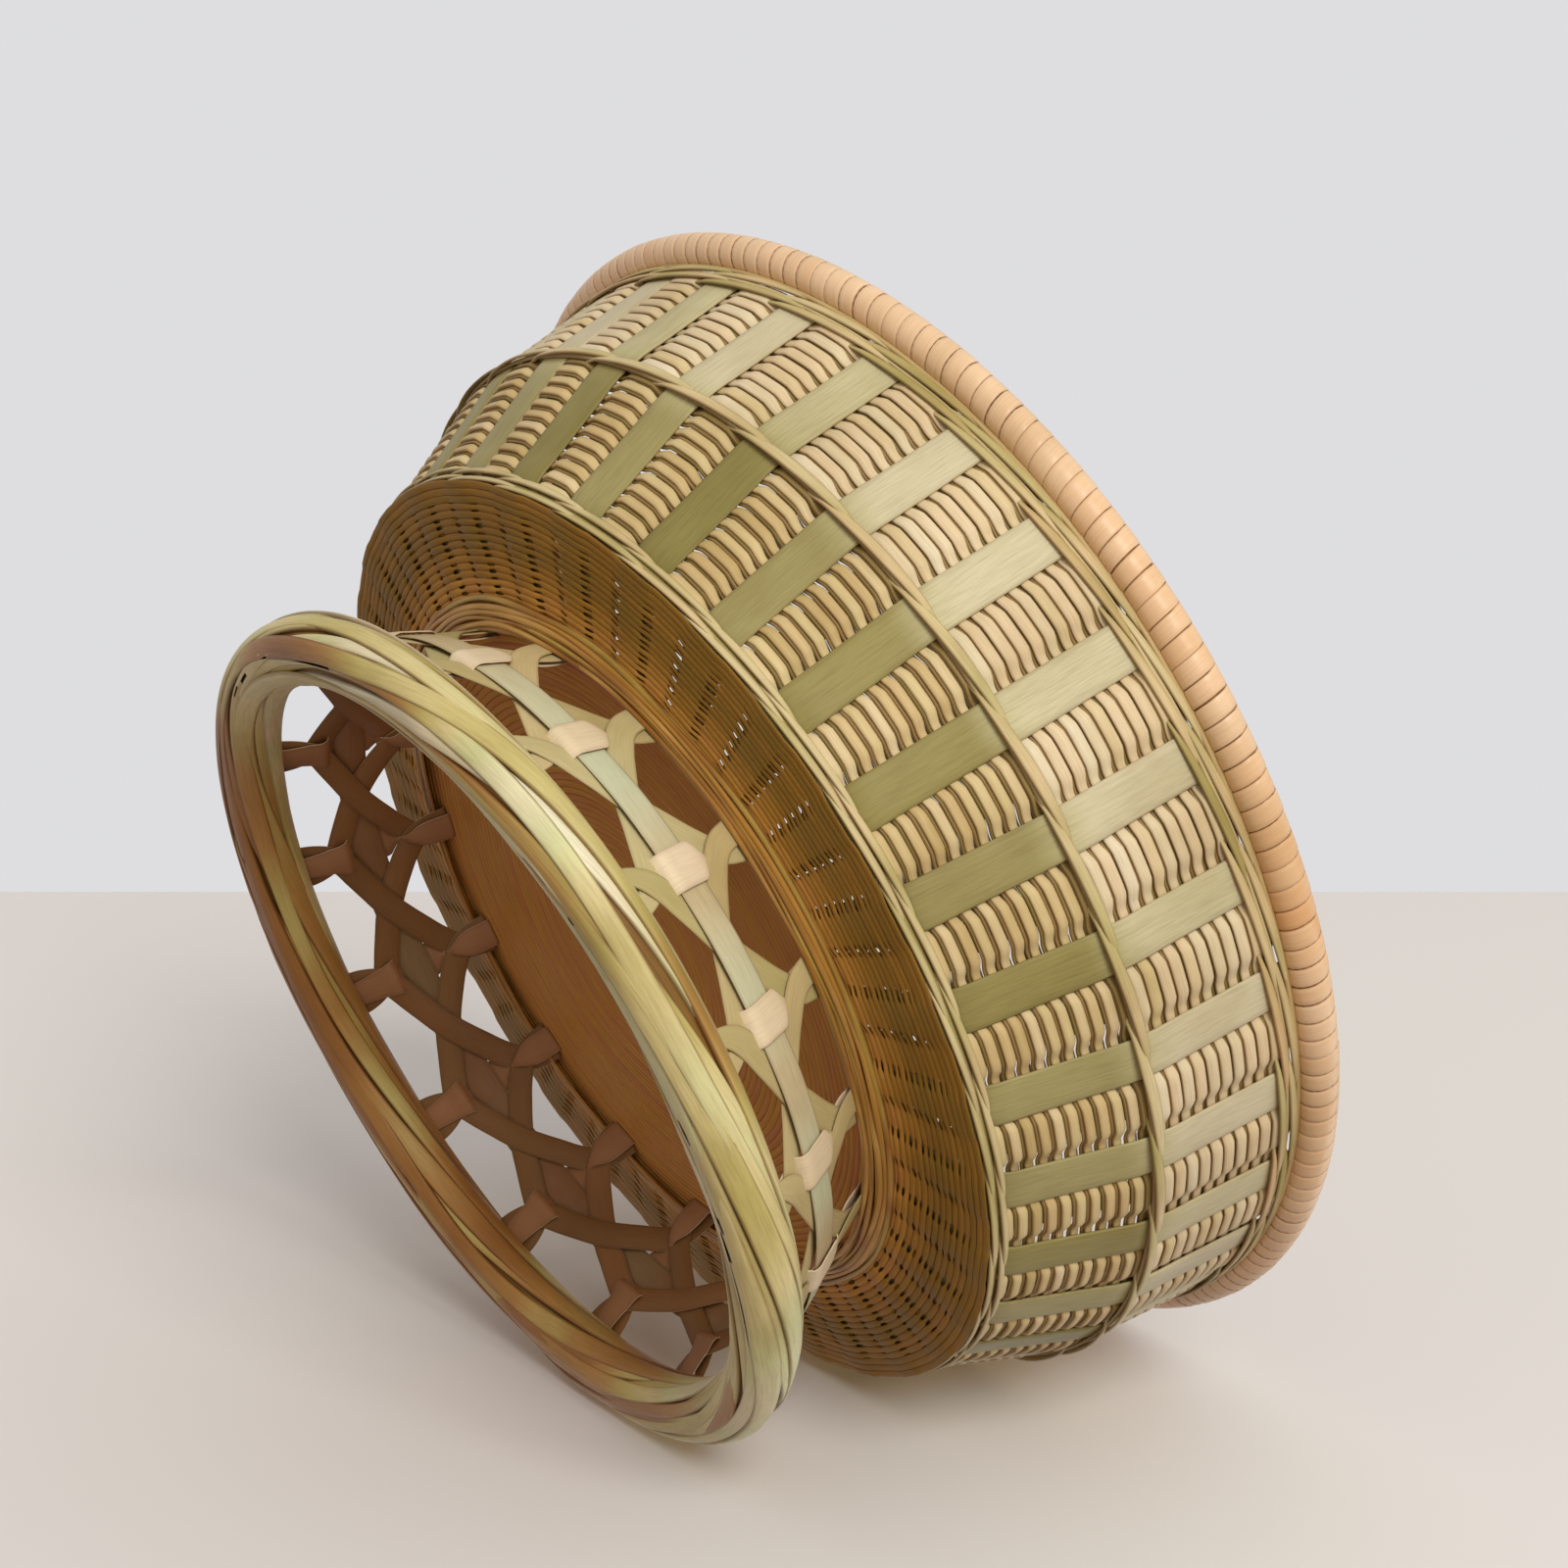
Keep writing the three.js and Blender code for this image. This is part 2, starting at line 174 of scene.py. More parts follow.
def way_along(points):
    """The way along a line to each of its points."""
    steps = np.linalg.norm(np.diff(points, axis=0), axis=1)
    return np.concatenate([[0], np.cumsum(steps)])


def around(steps):
    """Angles once round the basket."""
    return np.arange(steps) * TURN / steps


def nearest_stake(angle):
    """Distance to the nearest outer stake, from 0 at its middle to 1 halfway to the next."""
    share = (angle / STAKE_PITCH) % 1
    return 2 * np.minimum(share, 1 - share)


def stake_by_stake(rng, angle):
    """A random share that is the same from one stake to the next."""
    return np.repeat(rng.random(STAKES), len(angle) // STAKES)


def beside_stakes(angle):
    """1 halfway between an outer and an inner stake, and 0 at the middle of either."""
    return 1 - np.abs(2 * ((2 * angle / STAKE_PITCH) % 1) - 1)


class Strand:
    """One strand: its path, which way its face looks, its width and thickness, and its tint."""

    def __init__(self, path, facing, width, thickness, tint, section=FLAT, closed=False):
        self.path = path
        self.facing = facing
        along = [np.broadcast_to(np.asarray(v, dtype=float), len(path)) for v in (width, thickness, tint)]
        self.width, self.thickness, self.tint = along
        self.section = np.array(section, dtype=float)
        self.closed = closed

    def rings(self):
        """The section's corners at each point of the path."""
        if self.closed:
            ahead, behind = np.roll(self.path, -1, axis=0), np.roll(self.path, 1, axis=0)
        else:
            ahead = np.vstack([self.path[1:], self.path[-1:]])
            behind = np.vstack([self.path[:1], self.path[:-1]])
        along = unit(ahead - behind)
        across = unit(np.cross(along, self.facing))
        out = np.cross(across, along)
        a = self.section[:, 0][None, :, None] * across[:, None, :] * self.width[:, None, None] / 2
        b = self.section[:, 1][None, :, None] * out[:, None, :] * self.thickness[:, None, None] / 2
        rings = self.path[:, None, :] + a + b
        # What lies on the table is worn flat
        rings[:, :, 2] = np.maximum(rings[:, :, 2], 0)
        return rings


def loop(angle, radius, height, facing, width, thickness, tint, section):
    """A strand all round the basket. Its face looks outward and up as far as facing says."""
    out, up = facing
    path = polar(radius, angle, height)
    return Strand(path, polar(out, angle, up), width, thickness, tint, section, closed=True)


# A strand's UVs fill one row of the square, but for margins. Its ends are small ellipses in those.
ROW_END_MARGIN = 0.02
ROW_SIDE_MARGIN = 0.05
END_HALF_WIDTH = 0.008
END_HALF_HEIGHT = 0.4
# Each strand's grain starts this much further on, so that strands side by side differ
GRAIN_STEP = 0.731
GRAIN_RANGE = 17


def side_faces(count, sides, closed):
    """The faces between a strand's rings, and their UVs in a row that is one unit high."""
    spans = count if closed else count - 1
    i, j = np.meshgrid(np.arange(spans), np.arange(sides), indexing="ij")
    i, j = i.ravel(), j.ravel()
    far, beside = (i + 1) % count, (j + 1) % sides
    faces = np.stack([i * sides + j, i * sides + beside, far * sides + beside, far * sides + j], axis=1)
    length, height = 1 - 2 * ROW_END_MARGIN, 1 - 2 * ROW_SIDE_MARGIN
    left, right = (ROW_END_MARGIN + length * (i + k) / spans for k in (0, 1))
    bottom, top = (ROW_SIDE_MARGIN + height * (j + k) / sides for k in (0, 1))
    uvs = np.stack([left, bottom, left, top, right, top, right, bottom], axis=1)
    return faces, uvs.reshape(-1, 2)


def end_faces(count, sides):
    """The faces at a strand's two ends, each with its UVs in a row that is one unit high."""
    turn = around(sides)
    ends = []
    for ring, order, spot in ((0, -1, ROW_END_MARGIN / 2), (count - 1, 1, 1 - ROW_END_MARGIN / 2)):
        face = (ring * sides + np.arange(sides))[::order]
        uvs = np.stack([spot + END_HALF_WIDTH * np.cos(turn), 0.5 + END_HALF_HEIGHT * np.sin(turn)], axis=1)
        ends.append((face[None, :], uvs))
    return ends


def strand_marks(strand, index):
    """What the material reads at each corner: metres along the strand, place across it and grain."""
    marks = np.zeros((len(strand.path), len(strand.section), 3))
    marks[:, :, 0] = way_along(strand.path)[:, None] * MILLI
    marks[:, :, 1] = strand.section[None, :, 0]
    marks[:, :, 2] = index * GRAIN_STEP % GRAIN_RANGE
    return marks.reshape(-1, 3)


def weave_piece(name, strands, material, slot, *replaced):
    """Makes one mesh of strands, with what its material reads, and joins it to the frame."""
    strands = list(strands)
    corners, faces, uvs, marks, tints, backs = [], [], [], [], [], []
    start = 0
    for index, strand in enumerate(strands):
        rings = strand.rings()
        count, sides = rings.shape[:2]
        parts = [side_faces(count, sides, strand.closed)]
        if not strand.closed:
            parts += end_faces(count, sides)
        for part_faces, part_uvs in parts:
            faces.extend((part_faces + start).tolist())
            uvs.append(np.column_stack([part_uvs[:, 0], (index + part_uvs[:, 1]) / len(strands)]))
        corners.append(rings.reshape(-1, 3))
        marks.append(strand_marks(strand, index))
        tints.append(np.repeat(strand.tint, sides))
        backs.append(np.tile(strand.section[:, 1] <= -1, count).astype(float))
        start += count * sides
    mesh = bpy.data.meshes.new(name)
    mesh.from_pydata((np.concatenate(corners) * MILLI).tolist(), [], faces)
    said = (("strand", "FLOAT_VECTOR", "vector", marks), ("tint", "FLOAT", "value", tints),
            ("back", "FLOAT", "value", backs))
    for label, kind, field, values in said:
        mesh.attributes.new(label, kind, "POINT").data.foreach_set(field, np.concatenate(values).ravel())
    mesh.uv_layers.new(name="OFBake").data.foreach_set("uv", np.concatenate(uvs).ravel())
    mesh.polygons.foreach_set("use_smooth", np.ones(len(mesh.polygons), dtype=bool))
    mesh.materials.append(material)
    mesh.update()
    piece = bpy.data.objects.new(name, mesh)
    bpy.context.scene.collection.objects.link(piece)
    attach(piece, "root")
    if replaced:
        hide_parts(*replaced)


# Bamboo's fibres: their pattern's scale along a metre of strand, its noise, and the bump it gives
FIBRES_ALONG = 90
FIBRE_NOISE = {"Scale": 1.6, "Detail": 5, "Roughness": 0.62}
FIBRE_BUMP = 0.25
FIBRE_RELIEF = 0.0003
# Slow stains that run over many strands
STAIN_NOISE = {"Scale": 42, "Detail": 3}
# Values of either noise from which and up to which it darkens the colour
FIBRE_RANGE = (0.42, 0.72)
STAIN_RANGE = (0.45, 0.75)
# Colours that darken the fibres and the stains, the edges with wear and painted shade in the creases between
# strands, and the back with browner painted shade
FIBRE_COLOUR = (150, 112, 48)
STAIN_COLOUR = (176, 158, 84)
WEAR_AND_CREASE_SHADE_COLOUR = (140, 96, 44)
BACK_SHADE_COLOUR = (158, 106, 62)
# How far the roughness goes down and up along the fibres
SMOOTHER = 0.08
ROUGHER = 0.18
# How finely the fibres lie side by side in wide and thin strands
FINE_GRAIN = 7.5
COARSE_GRAIN = 3.25


def linear(rgb):
    """A colour given as 0 to 255 screen values, as the shader's linear one, by the sRGB curve."""
    values = np.array(rgb, dtype=float) / 255
    values = np.where(values <= 0.04045, values / 12.92, ((values + 0.055) / 1.055) ** 2.4)
    return (*values.tolist(), 1.0)


def attribute(tree, name, output):
    """What a mesh says under a name."""
    node = tree.nodes.new("ShaderNodeAttribute")
    node.attribute_name = name
    return node.outputs[output]


def noise(tree, vector, values):
    """A noise with the values that are given for its inputs."""
    node = tree.nodes.new("ShaderNodeTexNoise")
    for name, value in values.items():
        node.inputs[name].default_value = value
    tree.links.new(vector, node.inputs["Vector"])
    return node.outputs["Fac"]


def math_node(tree, operation, *values):
    """A calculation with one or two outputs of other nodes."""
    node = tree.nodes.new("ShaderNodeMath")
    node.operation = operation
    for socket, value in zip(node.inputs, values):
        tree.links.new(value, socket)
    return node.outputs["Value"]


def map_range(tree, value, start, end, low, high):
    """Turns values from start to end into values from low to high."""
    node = tree.nodes.new("ShaderNodeMapRange")
    for name, limit in (("From Min", start), ("From Max", end), ("To Min", low), ("To Max", high)):
        node.inputs[name].default_value = limit
    tree.links.new(value, node.inputs["Value"])
    return node.outputs["Result"]


def darken(tree, factor, colour, dark):
    """A colour multiplied by a dark one, as far as the factor says."""
    mix = tree.nodes.new("ShaderNodeMix")
    mix.data_type = "RGBA"
    mix.blend_type = "MULTIPLY"
    tree.links.new(factor, mix.inputs["Factor"])
    tree.links.new(colour, mix.inputs["A"])
    mix.inputs["B"].default_value = linear(dark)
    return mix.outputs["Result"]


def bamboo(name, palette, roughness=0.45, streaks=0.28, shade=0.3, grain=COARSE_GRAIN, edge_start=0.72,
           back=0.0, specular=0.25, stains=0.35):
    """Split bamboo. Each strand takes its colour from the palette by its tint, and has fibres along it.
    Streaks and stains say how far its fibres and stains darken it; shade says how far wear and painted
    crease shade darken its edges, and back how far painted shade darkens its back."""
    material = bpy.data.materials.new(name)
    material.use_nodes = True
    tree = material.node_tree
    nodes, links = tree.nodes, tree.links
    shader = nodes["Principled BSDF"]
    strand = attribute(tree, "strand", "Vector")

    colours = nodes.new("ShaderNodeValToRGB")
    elements = colours.color_ramp.elements
    while len(elements) < len(palette):
        elements.new(0.5)
    for k, rgb in enumerate(palette):
        elements[k].position = k / (len(palette) - 1)
        elements[k].color = linear(rgb)
    links.new(attribute(tree, "tint", "Fac"), colours.inputs["Fac"])

    stretch = nodes.new("ShaderNodeVectorMath")
    stretch.operation = "MULTIPLY"
    stretch.inputs[1].default_value = (FIBRES_ALONG, grain, 1)
    links.new(strand, stretch.inputs[0])
    fibre = noise(tree, stretch.outputs["Vector"], FIBRE_NOISE)
    place = nodes.new("ShaderNodeTexCoord")
    stain = noise(tree, place.outputs["Object"], STAIN_NOISE)
    parts = nodes.new("ShaderNodeSeparateXYZ")
    links.new(strand, parts.inputs["Vector"])
    from_middle = math_node(tree, "ABSOLUTE", parts.outputs["Y"])

    colour = colours.outputs["Color"]
    colour = darken(tree, map_range(tree, fibre, *FIBRE_RANGE, 0, streaks), colour, FIBRE_COLOUR)
    colour = darken(tree, map_range(tree, stain, *STAIN_RANGE, 0, stains), colour, STAIN_COLOUR)
    # Edges: wear, and painted shade in the creases between strands
    colour = darken(tree, map_range(tree, from_middle, edge_start, 1, 0, shade), colour, WEAR_AND_CREASE_SHADE_COLOUR)
    # Back faces: painted shade, browner and darker, as on the inside of the foot
    on_back = attribute(tree, "back", "Fac")
    colour = darken(tree, map_range(tree, on_back, 0, 1, 0, back), colour, BACK_SHADE_COLOUR)
    links.new(colour, shader.inputs["Base Color"])

    shader.inputs["Specular IOR Level"].default_value = specular
    gloss = map_range(tree, fibre, 0, 1, roughness - SMOOTHER, roughness + ROUGHER)
    links.new(gloss, shader.inputs["Roughness"])
    bump = nodes.new("ShaderNodeBump")
    bump.inputs["Strength"].default_value = FIBRE_BUMP
    bump.inputs["Distance"].default_value = FIBRE_RELIEF
    links.new(fibre, bump.inputs["Height"])
    links.new(bump.outputs["Normal"], shader.inputs["Normal"])
    return material


CANE = bamboo(
    "cane", [(234, 182, 126), (240, 197, 148), (246, 210, 167), (240, 197, 148), (229, 172, 113)],
    roughness=0.32, streaks=0.14, shade=0.6, edge_start=0.9, specular=0.4)
STAKE = bamboo(
    "stake_skin", [(218, 206, 170), (210, 200, 156), (198, 190, 138), (162, 150, 90), (148, 138, 76)],
    roughness=0.4, streaks=0.26, shade=0.16, grain=FINE_GRAIN)
INNER = bamboo(
    "inner_stake", [(186, 148, 88), (170, 130, 72), (196, 160, 104)],
    roughness=0.55)
WEAVER = bamboo(
    "weaver", [(240, 224, 190), (232, 216, 176), (234, 210, 168), (222, 200, 144), (214, 186, 130),
               (196, 172, 110)],
    streaks=0.25, shade=0.5, edge_start=0.86)
# Darker than the weavers: the strands' own olive, and painted shade for the creases between the rows
FILLER = bamboo(
    "filler", [(158, 134, 78), (168, 138, 86), (148, 128, 70)],
    roughness=0.5)
BAND = bamboo(
    "band_strand", [(218, 200, 148), (198, 184, 122), (224, 200, 150), (180, 166, 100), (218, 186, 134)],
    roughness=0.42, streaks=0.3, shade=0.6, edge_start=0.66)
OCHRE = bamboo(
    "waist_strand", [(206, 152, 66), (220, 174, 92), (172, 116, 46), (196, 162, 76)],
    roughness=0.42, streaks=0.4, shade=0.6, edge_start=0.5)
# The palette's lighter colours serve near the waist and in the middle of the base, partly as painted light
BASE = bamboo(
    "base_strand", [(140, 112, 46), (156, 118, 48), (182, 134, 56), (212, 158, 76), (206, 138, 86)],
    roughness=0.5, streaks=0.35, shade=0.35, edge_start=0.66, specular=0.1, stains=0.15)
UPRIGHT = bamboo(
    "foot_upright", [(246, 230, 198), (238, 218, 178), (242, 222, 186)],
    roughness=0.5, streaks=0.16, shade=0.2, grain=FINE_GRAIN, back=0.9)
BRACE = bamboo(
    "foot_brace", [(210, 198, 146), (196, 178, 122), (216, 194, 142), (188, 176, 116)],
    roughness=0.5, streaks=0.22, shade=0.35, grain=FINE_GRAIN, edge_start=0.8, back=0.9)
HOOP = bamboo(
    "foot_hoop", [(210, 214, 176), (214, 206, 166), (210, 190, 146)],
    streaks=0.25, shade=0.35, grain=FINE_GRAIN, edge_start=0.8, back=0.9)
RING = bamboo(
    "foot_ring", [(236, 238, 206), (242, 230, 192), (218, 218, 160), (226, 210, 150), (200, 184, 110),
                  (184, 138, 74), (160, 110, 54)],
    roughness=0.4, streaks=0.26, shade=0.7, edge_start=0.8)
RING_INSIDE = bamboo(
    "foot_ring_inside", [(150, 112, 54), (136, 98, 46), (160, 122, 64)],
    roughness=0.5, shade=0.6)
CORE = bamboo(
    "core", [(170, 120, 64), (156, 106, 54)],
    roughness=0.6)

# Cane of the rim
CANE_STEPS = 16
CANE_THICKNESS = 0.6
CANE_CLEARANCE = 0.08
CANE_UNEVENNESS = 0.03
CANE_SHADES = 0.06
CANE_TINT_WAVER = (1, 3, 12)
# The share of the wraps with a gap beside them, and their widths, as shares of the pitch, with and without
GAPPED_WRAPS = 0.45
GAPPED_COVER = (0.9, 0.95)
CLOSE_COVER = 0.995
CORE_STEPS = 256
CORE_THICKNESS = 6.9


def rim_wraps(rng):
    """Cane wound closely round the rim."""
    count = RIM_WRAPS * CANE_STEPS
    t = np.arange(count) / count
    wrap = np.arange(count) // CANE_STEPS
    angle = TURN * t
    side = -TURN * RIM_WRAPS * t
    unevenness = rng.normal(0, CANE_UNEVENNESS, RIM_WRAPS)
    shade = 0.5 + 0.5 * waves(rng, around(RIM_WRAPS), *CANE_TINT_WAVER)
    shade += rng.normal(0, CANE_SHADES, RIM_WRAPS)
    gapped = rng.random(RIM_WRAPS) < GAPPED_WRAPS
    cover = np.where(gapped, rng.uniform(*GAPPED_COVER, RIM_WRAPS), CLOSE_COVER)
    size = RIM_THICKNESS / 2 - CANE_THICKNESS / 2 - CANE_CLEARANCE + unevenness[wrap]
    radius = RIM_RADIUS + size * np.cos(side)
    path = polar(radius, angle, RIM_HEIGHT + size * np.sin(side))
    middle = polar(RIM_RADIUS, angle, RIM_HEIGHT)
    width = TURN * radius / RIM_WRAPS * cover[wrap]
    tint = np.clip(shade[wrap], 0, 1)
    return [Strand(path, unit(path - middle), width, CANE_THICKNESS, tint, WRAP, closed=True)]


def rim_core():
    """The hoop under the cane."""
    angle = around(CORE_STEPS)
    return [loop(angle, RIM_RADIUS, RIM_HEIGHT, OUTWARD, CORE_THICKNESS, CORE_THICKNESS, 0.5, ROUND)]


STAKE_THICKNESS = 0.7
# Strands of the bands: steps from stake to stake, thickness, facing and waverings
TWINED_STEPS = 18
TWINED_THICKNESS = 0.6
TWINED_FACING = (1, 0.05)
TWINED_WAVER = 0.15
TWINED_WIDTH_WAVER = 0.12
TWINED_TINT_WAVER = (0.5, 3, 12)
PLAIN_STEPS = 8
PLAIN_THICKNESS = 0.8
PLAIN_FACING = (1, 0.1)
PLAIN_WAVER = 0.2
PLAIN_RADIUS_WAVER = 0.12
# Distance of a twined strand from the stakes on average
TWINED_OUT = 0.35
# A twined strand lies in front for this many stakes and then behind for the rest of two
FRONT_SPAN = 1.25
FRONT_START = 0.25
# Its width where it dives, as a share of its whole width
STRAND_END = 0.5
# It comes out quickly, and dives behind a stake by this many times what it stands out in front
ARCH_POWER = 0.6
DIVE = 2.4


def twined_row(rng, z, width, rise, tints, relief):
    """Two flat strands, each of which comes out, climbs over a stake and dives behind the next."""
    angle = around(STAKES * TWINED_STEPS)
    for k, first_tint in enumerate(tints):
        share = (angle / STAKE_PITCH + FRONT_START + k) % 2
        front = np.clip(share / FRONT_SPAN, 0, 1)
        back = np.clip((share - FRONT_SPAN) / (2 - FRONT_SPAN), 0, 1)
        in_front = share < FRONT_SPAN
        climb = np.where(in_front, front, 1 - smooth(back, 0, 1))
        arch = np.sin(math.pi * front) ** ARCH_POWER
        height = z + rise * (climb - 0.5) + waves(rng, angle, TWINED_WAVER)
        bulge = np.where(in_front, arch, -DIVE * np.sin(math.pi * back))
        radius = wall_radius(height) + STAKE_THICKNESS / 2 + TWINED_OUT + relief * bulge
        wide = width * np.where(in_front, STRAND_END + (1 - STRAND_END) * arch, STRAND_END)
        wide = wide * (1 + waves(rng, angle, TWINED_WIDTH_WAVER))
        tint = np.clip(first_tint + waves(rng, angle, *TWINED_TINT_WAVER), 0, 1)
        yield loop(angle, radius, height, TWINED_FACING, wide, TWINED_THICKNESS, tint, CROWNED)


def plain_strand(rng, z, width, out, tint):
    """A thin strand that lies straight round the stakes."""
    angle = around(STAKES * PLAIN_STEPS)
    height = z + waves(rng, angle, PLAIN_WAVER)
    radius = wall_radius(height) + STAKE_THICKNESS / 2 + out + waves(rng, angle, PLAIN_RADIUS_WAVER)
    return loop(angle, radius, height, PLAIN_FACING, width, PLAIN_THICKNESS, tint, CROWNED)


def upper_band(rng):
    return [
        plain_strand(rng, z=104.5, width=1.9, out=0.5, tint=0.9),
        *twined_row(rng, z=103.3, width=2.0, rise=1.7, tints=(0.1, 0.55), relief=0.5),
        plain_strand(rng, z=102.2, width=1.5, out=0.25, tint=0.4),
        *twined_row(rng, z=100.9, width=2.0, rise=1.7, tints=(0.45, 0.85), relief=0.5),
    ]


def middle_band(rng):
    return [
        plain_strand(rng, z=73.5, width=1.9, out=0.0, tint=0.6),
        *twined_row(rng, z=73.5, width=2.5, rise=1.3, tints=(0.5, 0.1), relief=0.7),
    ]


def lower_band(rng):
    return [
        *twined_row(rng, z=47.4, width=1.6, rise=0.7, tints=(0.25, 0.0), relief=0.5),
        plain_strand(rng, z=46.5, width=1.5, out=0.0, tint=0.75),
        *twined_row(rng, z=45.7, width=1.6, rise=0.7, tints=(0.0, 0.3), relief=0.5),
        plain_strand(rng, z=45.3, width=1.1, out=-0.45, tint=0.75),
    ]


# Rows of weavers below and above the middle band: the first one's height, their pitch and their number
LOWER_ROWS = (48.6, 2.44, 10)
UPPER_ROWS = (76.1, 2.7, 10)
# A weaver's width over an inner stake as a share of its row's pitch, and beside the stake as a share of that
WEAVER_COVER = 0.89
WEAVER_NARROWING = 0.8
WEAVER_UNEVENNESS = 0.03
WEAVER_THICKNESS = 0.9
WEAVER_FACING = (1, -0.1)
WEAVER_WAVER = (0.1, 3, 24)
WEAVER_RADIUS_WAVER = (0.06, 5, 30)
# Its distance out from the outer stakes beside an inner one, and how much further out it is over it
WEAVER_LOW = -1.0
WEAVER_SWELL = 1.25
WEAVER_DROP = 0.2
SWELL_WIDTH = 9.6
SWELL_EASE = 1.9
# What one weaver's tint may differ from another's, and one place's in a weaver
ROW_TINTS = 0.3
# Steps of a weaver's path over one inner stake, in millimetres from its middle at the middle band
WEAVER_STATIONS = (-8.6, -7, -6.4, -5.7, -5, -4.3, -3.5, -2, 0, 2, 3.5, 4.3, 5, 5.7, 6.4, 7, 8.6, 11.1)
# How far the strands behind lie in from a weaver's low, and how far they come out over an inner stake
FILLER_DEPTH = 0.7
FILLER_LIFT = 1.28
FILLER_STAGGER = 0.2
FILLER_COVER = 1.3
FILLER_THICKNESS = 0.5


def wall_angles():
    """Angles that are closer together where the weavers step."""
    middles = (np.arange(STAKES) + 0.5) * STAKE_PITCH + INNER_STAKE_TURN
    return (middles[:, None] + np.array(WEAVER_STATIONS)[None, :] / MIDDLE_RADIUS).ravel()


def weaver_swell(angle):
    """How far a weaver stands out over an inner stake, from 0 beside it to 1 over its middle."""
    share = (angle - INNER_STAKE_TURN) / STAKE_PITCH % 1
    distance = np.abs(share - 0.5) * STAKE_PITCH * MIDDLE_RADIUS
    return 1 - smooth(distance, SWELL_WIDTH / 2 - SWELL_EASE, SWELL_WIDTH / 2 + SWELL_EASE)


def wall_rows(rng, tier, darkness):
    """Weavers that pass behind each outer stake and over each inner one."""
    angle = wall_angles()
    swell = weaver_swell(angle)
    first, pitch, count = tier
    for z in first + pitch * np.arange(count):
        width = pitch * WEAVER_COVER * uneven(rng, WEAVER_UNEVENNESS)
        wide = width * (WEAVER_NARROWING + (1 - WEAVER_NARROWING) * swell)
        height = z + waves(rng, angle, *WEAVER_WAVER) + WEAVER_DROP * (swell - 1)
        out = WEAVER_LOW + WEAVER_SWELL * swell
        radius = wall_radius(height) + out + waves(rng, angle, *WEAVER_RADIUS_WAVER)
        tint = darkness + ROW_TINTS * rng.random() + ROW_TINTS * stake_by_stake(rng, angle)
        yield loop(angle, radius, height, WEAVER_FACING, wide, WEAVER_THICKNESS, tint, PILLOW)


def wall_fillers(rng, tier, lowest, highest):
    """Strands behind the rows, which close the creases between them."""
    angle = wall_angles()
    lift = FILLER_LIFT * weaver_swell(angle)
    pitch = tier[1]
    width = pitch * FILLER_COVER
    for k, z in enumerate(np.arange(lowest, highest, pitch)):
        height = z + waves(rng, angle, *WEAVER_WAVER)
        radius = wall_radius(height) + WEAVER_LOW - FILLER_DEPTH - FILLER_STAGGER * (k % 2) + lift
        yield loop(angle, radius, height, OUTWARD, width, FILLER_THICKNESS, rng.random(), LEAF)


def resample(points, step):
    """Points along a smooth curve through the given ones."""
    points = np.asarray(points, dtype=float)
    reach = way_along(points[:, :2])
    count = max(2, int(math.ceil(reach[-1] / step)) + 1)
    at = np.linspace(0, reach[-1], count)
    slopes = np.gradient(points, reach, axis=0)
    k = np.clip(np.searchsorted(reach, at, side="right") - 1, 0, len(reach) - 2)
    span = reach[k + 1] - reach[k]
    t = ((at - reach[k]) / span)[:, None]
    span = span[:, None]
    a, b, m, n = points[k], points[k + 1], slopes[k] * span, slopes[k + 1] * span
    leaving = a * (1 + 2 * t) * (1 - t) ** 2 + m * t * (1 - t) ** 2
    arriving = b * t * t * (3 - 2 * t) + n * t * t * (t - 1)
    return leaving + arriving


STAKE_WIDTH = 8.9
INNER_STAKE_WIDTH = 6.2
INNER_STAKE_OFFSET = -1.55
# Stops of a stake's way: radii on the floor, (radius, height) of its turn at the corner, heights on the wall
FLOOR_STOPS = (45, BASE_FLAT_RADIUS - 4, 86, 93.5)
CORNER_STOP = (97.6, 45.9)
WALL_STOPS = (49.5, 54, 60, 66, 71, 76, 84, 94, 104.2)
# What the turn moves out and up for each millimetre that the stake lies out from the outer stakes
CORNER_SHIFT = (0.6, -0.5)
STAKE_STEP = 1.6
STAKE_UNEVENNESS = 0.04
STAKE_WANDER = 0.0035
FLOOR_WANDER = 0.4
STAKE_TINTS = 0.4
WALL_FROM = CORNER_RADIUS - 3
# Heights from which and up to which the green of a stake's lower part fades
GREEN_END = (MIDDLE_HEIGHT - 6, MIDDLE_HEIGHT + 8)


def stakes(rng, phase, width, share, wall_offset, start, greenness):
    """Stakes from the middle of the floor, over the corner and up the wall, greener low down.
    Where they crowd together, they take up no more than a share of the way round."""
    flat = [(r, base_height(r) + BASE_LEVEL) for r in (start, *FLOOR_STOPS)]
    turned = [tuple(stop + wall_offset * shift for stop, shift in zip(CORNER_STOP, CORNER_SHIFT))]
    wall = [(wall_radius(z) + wall_offset, z) for z in WALL_STOPS]
    profile = resample(flat + turned + wall, STAKE_STEP)
    tangent = unit(np.gradient(profile, axis=0))
    pitch = STAKE_PITCH * profile[:, 0]
    wander = np.where(profile[:, 0] > WALL_FROM, 1, FLOOR_WANDER)
    low = 1 - smooth(profile[:, 1], *GREEN_END)
    for k in range(STAKES):
        wide = np.minimum(width, share * pitch) * uneven(rng, STAKE_UNEVENNESS)
        angle = phase + k * STAKE_PITCH + rng.normal(0, STAKE_WANDER) * wander
        path = polar(profile[:, 0], angle, profile[:, 1])
        facing = polar(tangent[:, 1], angle, -tangent[:, 0])
        tint = np.clip(greenness * low + rng.uniform(0, STAKE_TINTS), 0, 1)
        yield Strand(path, facing, wide, STAKE_THICKNESS, tint)


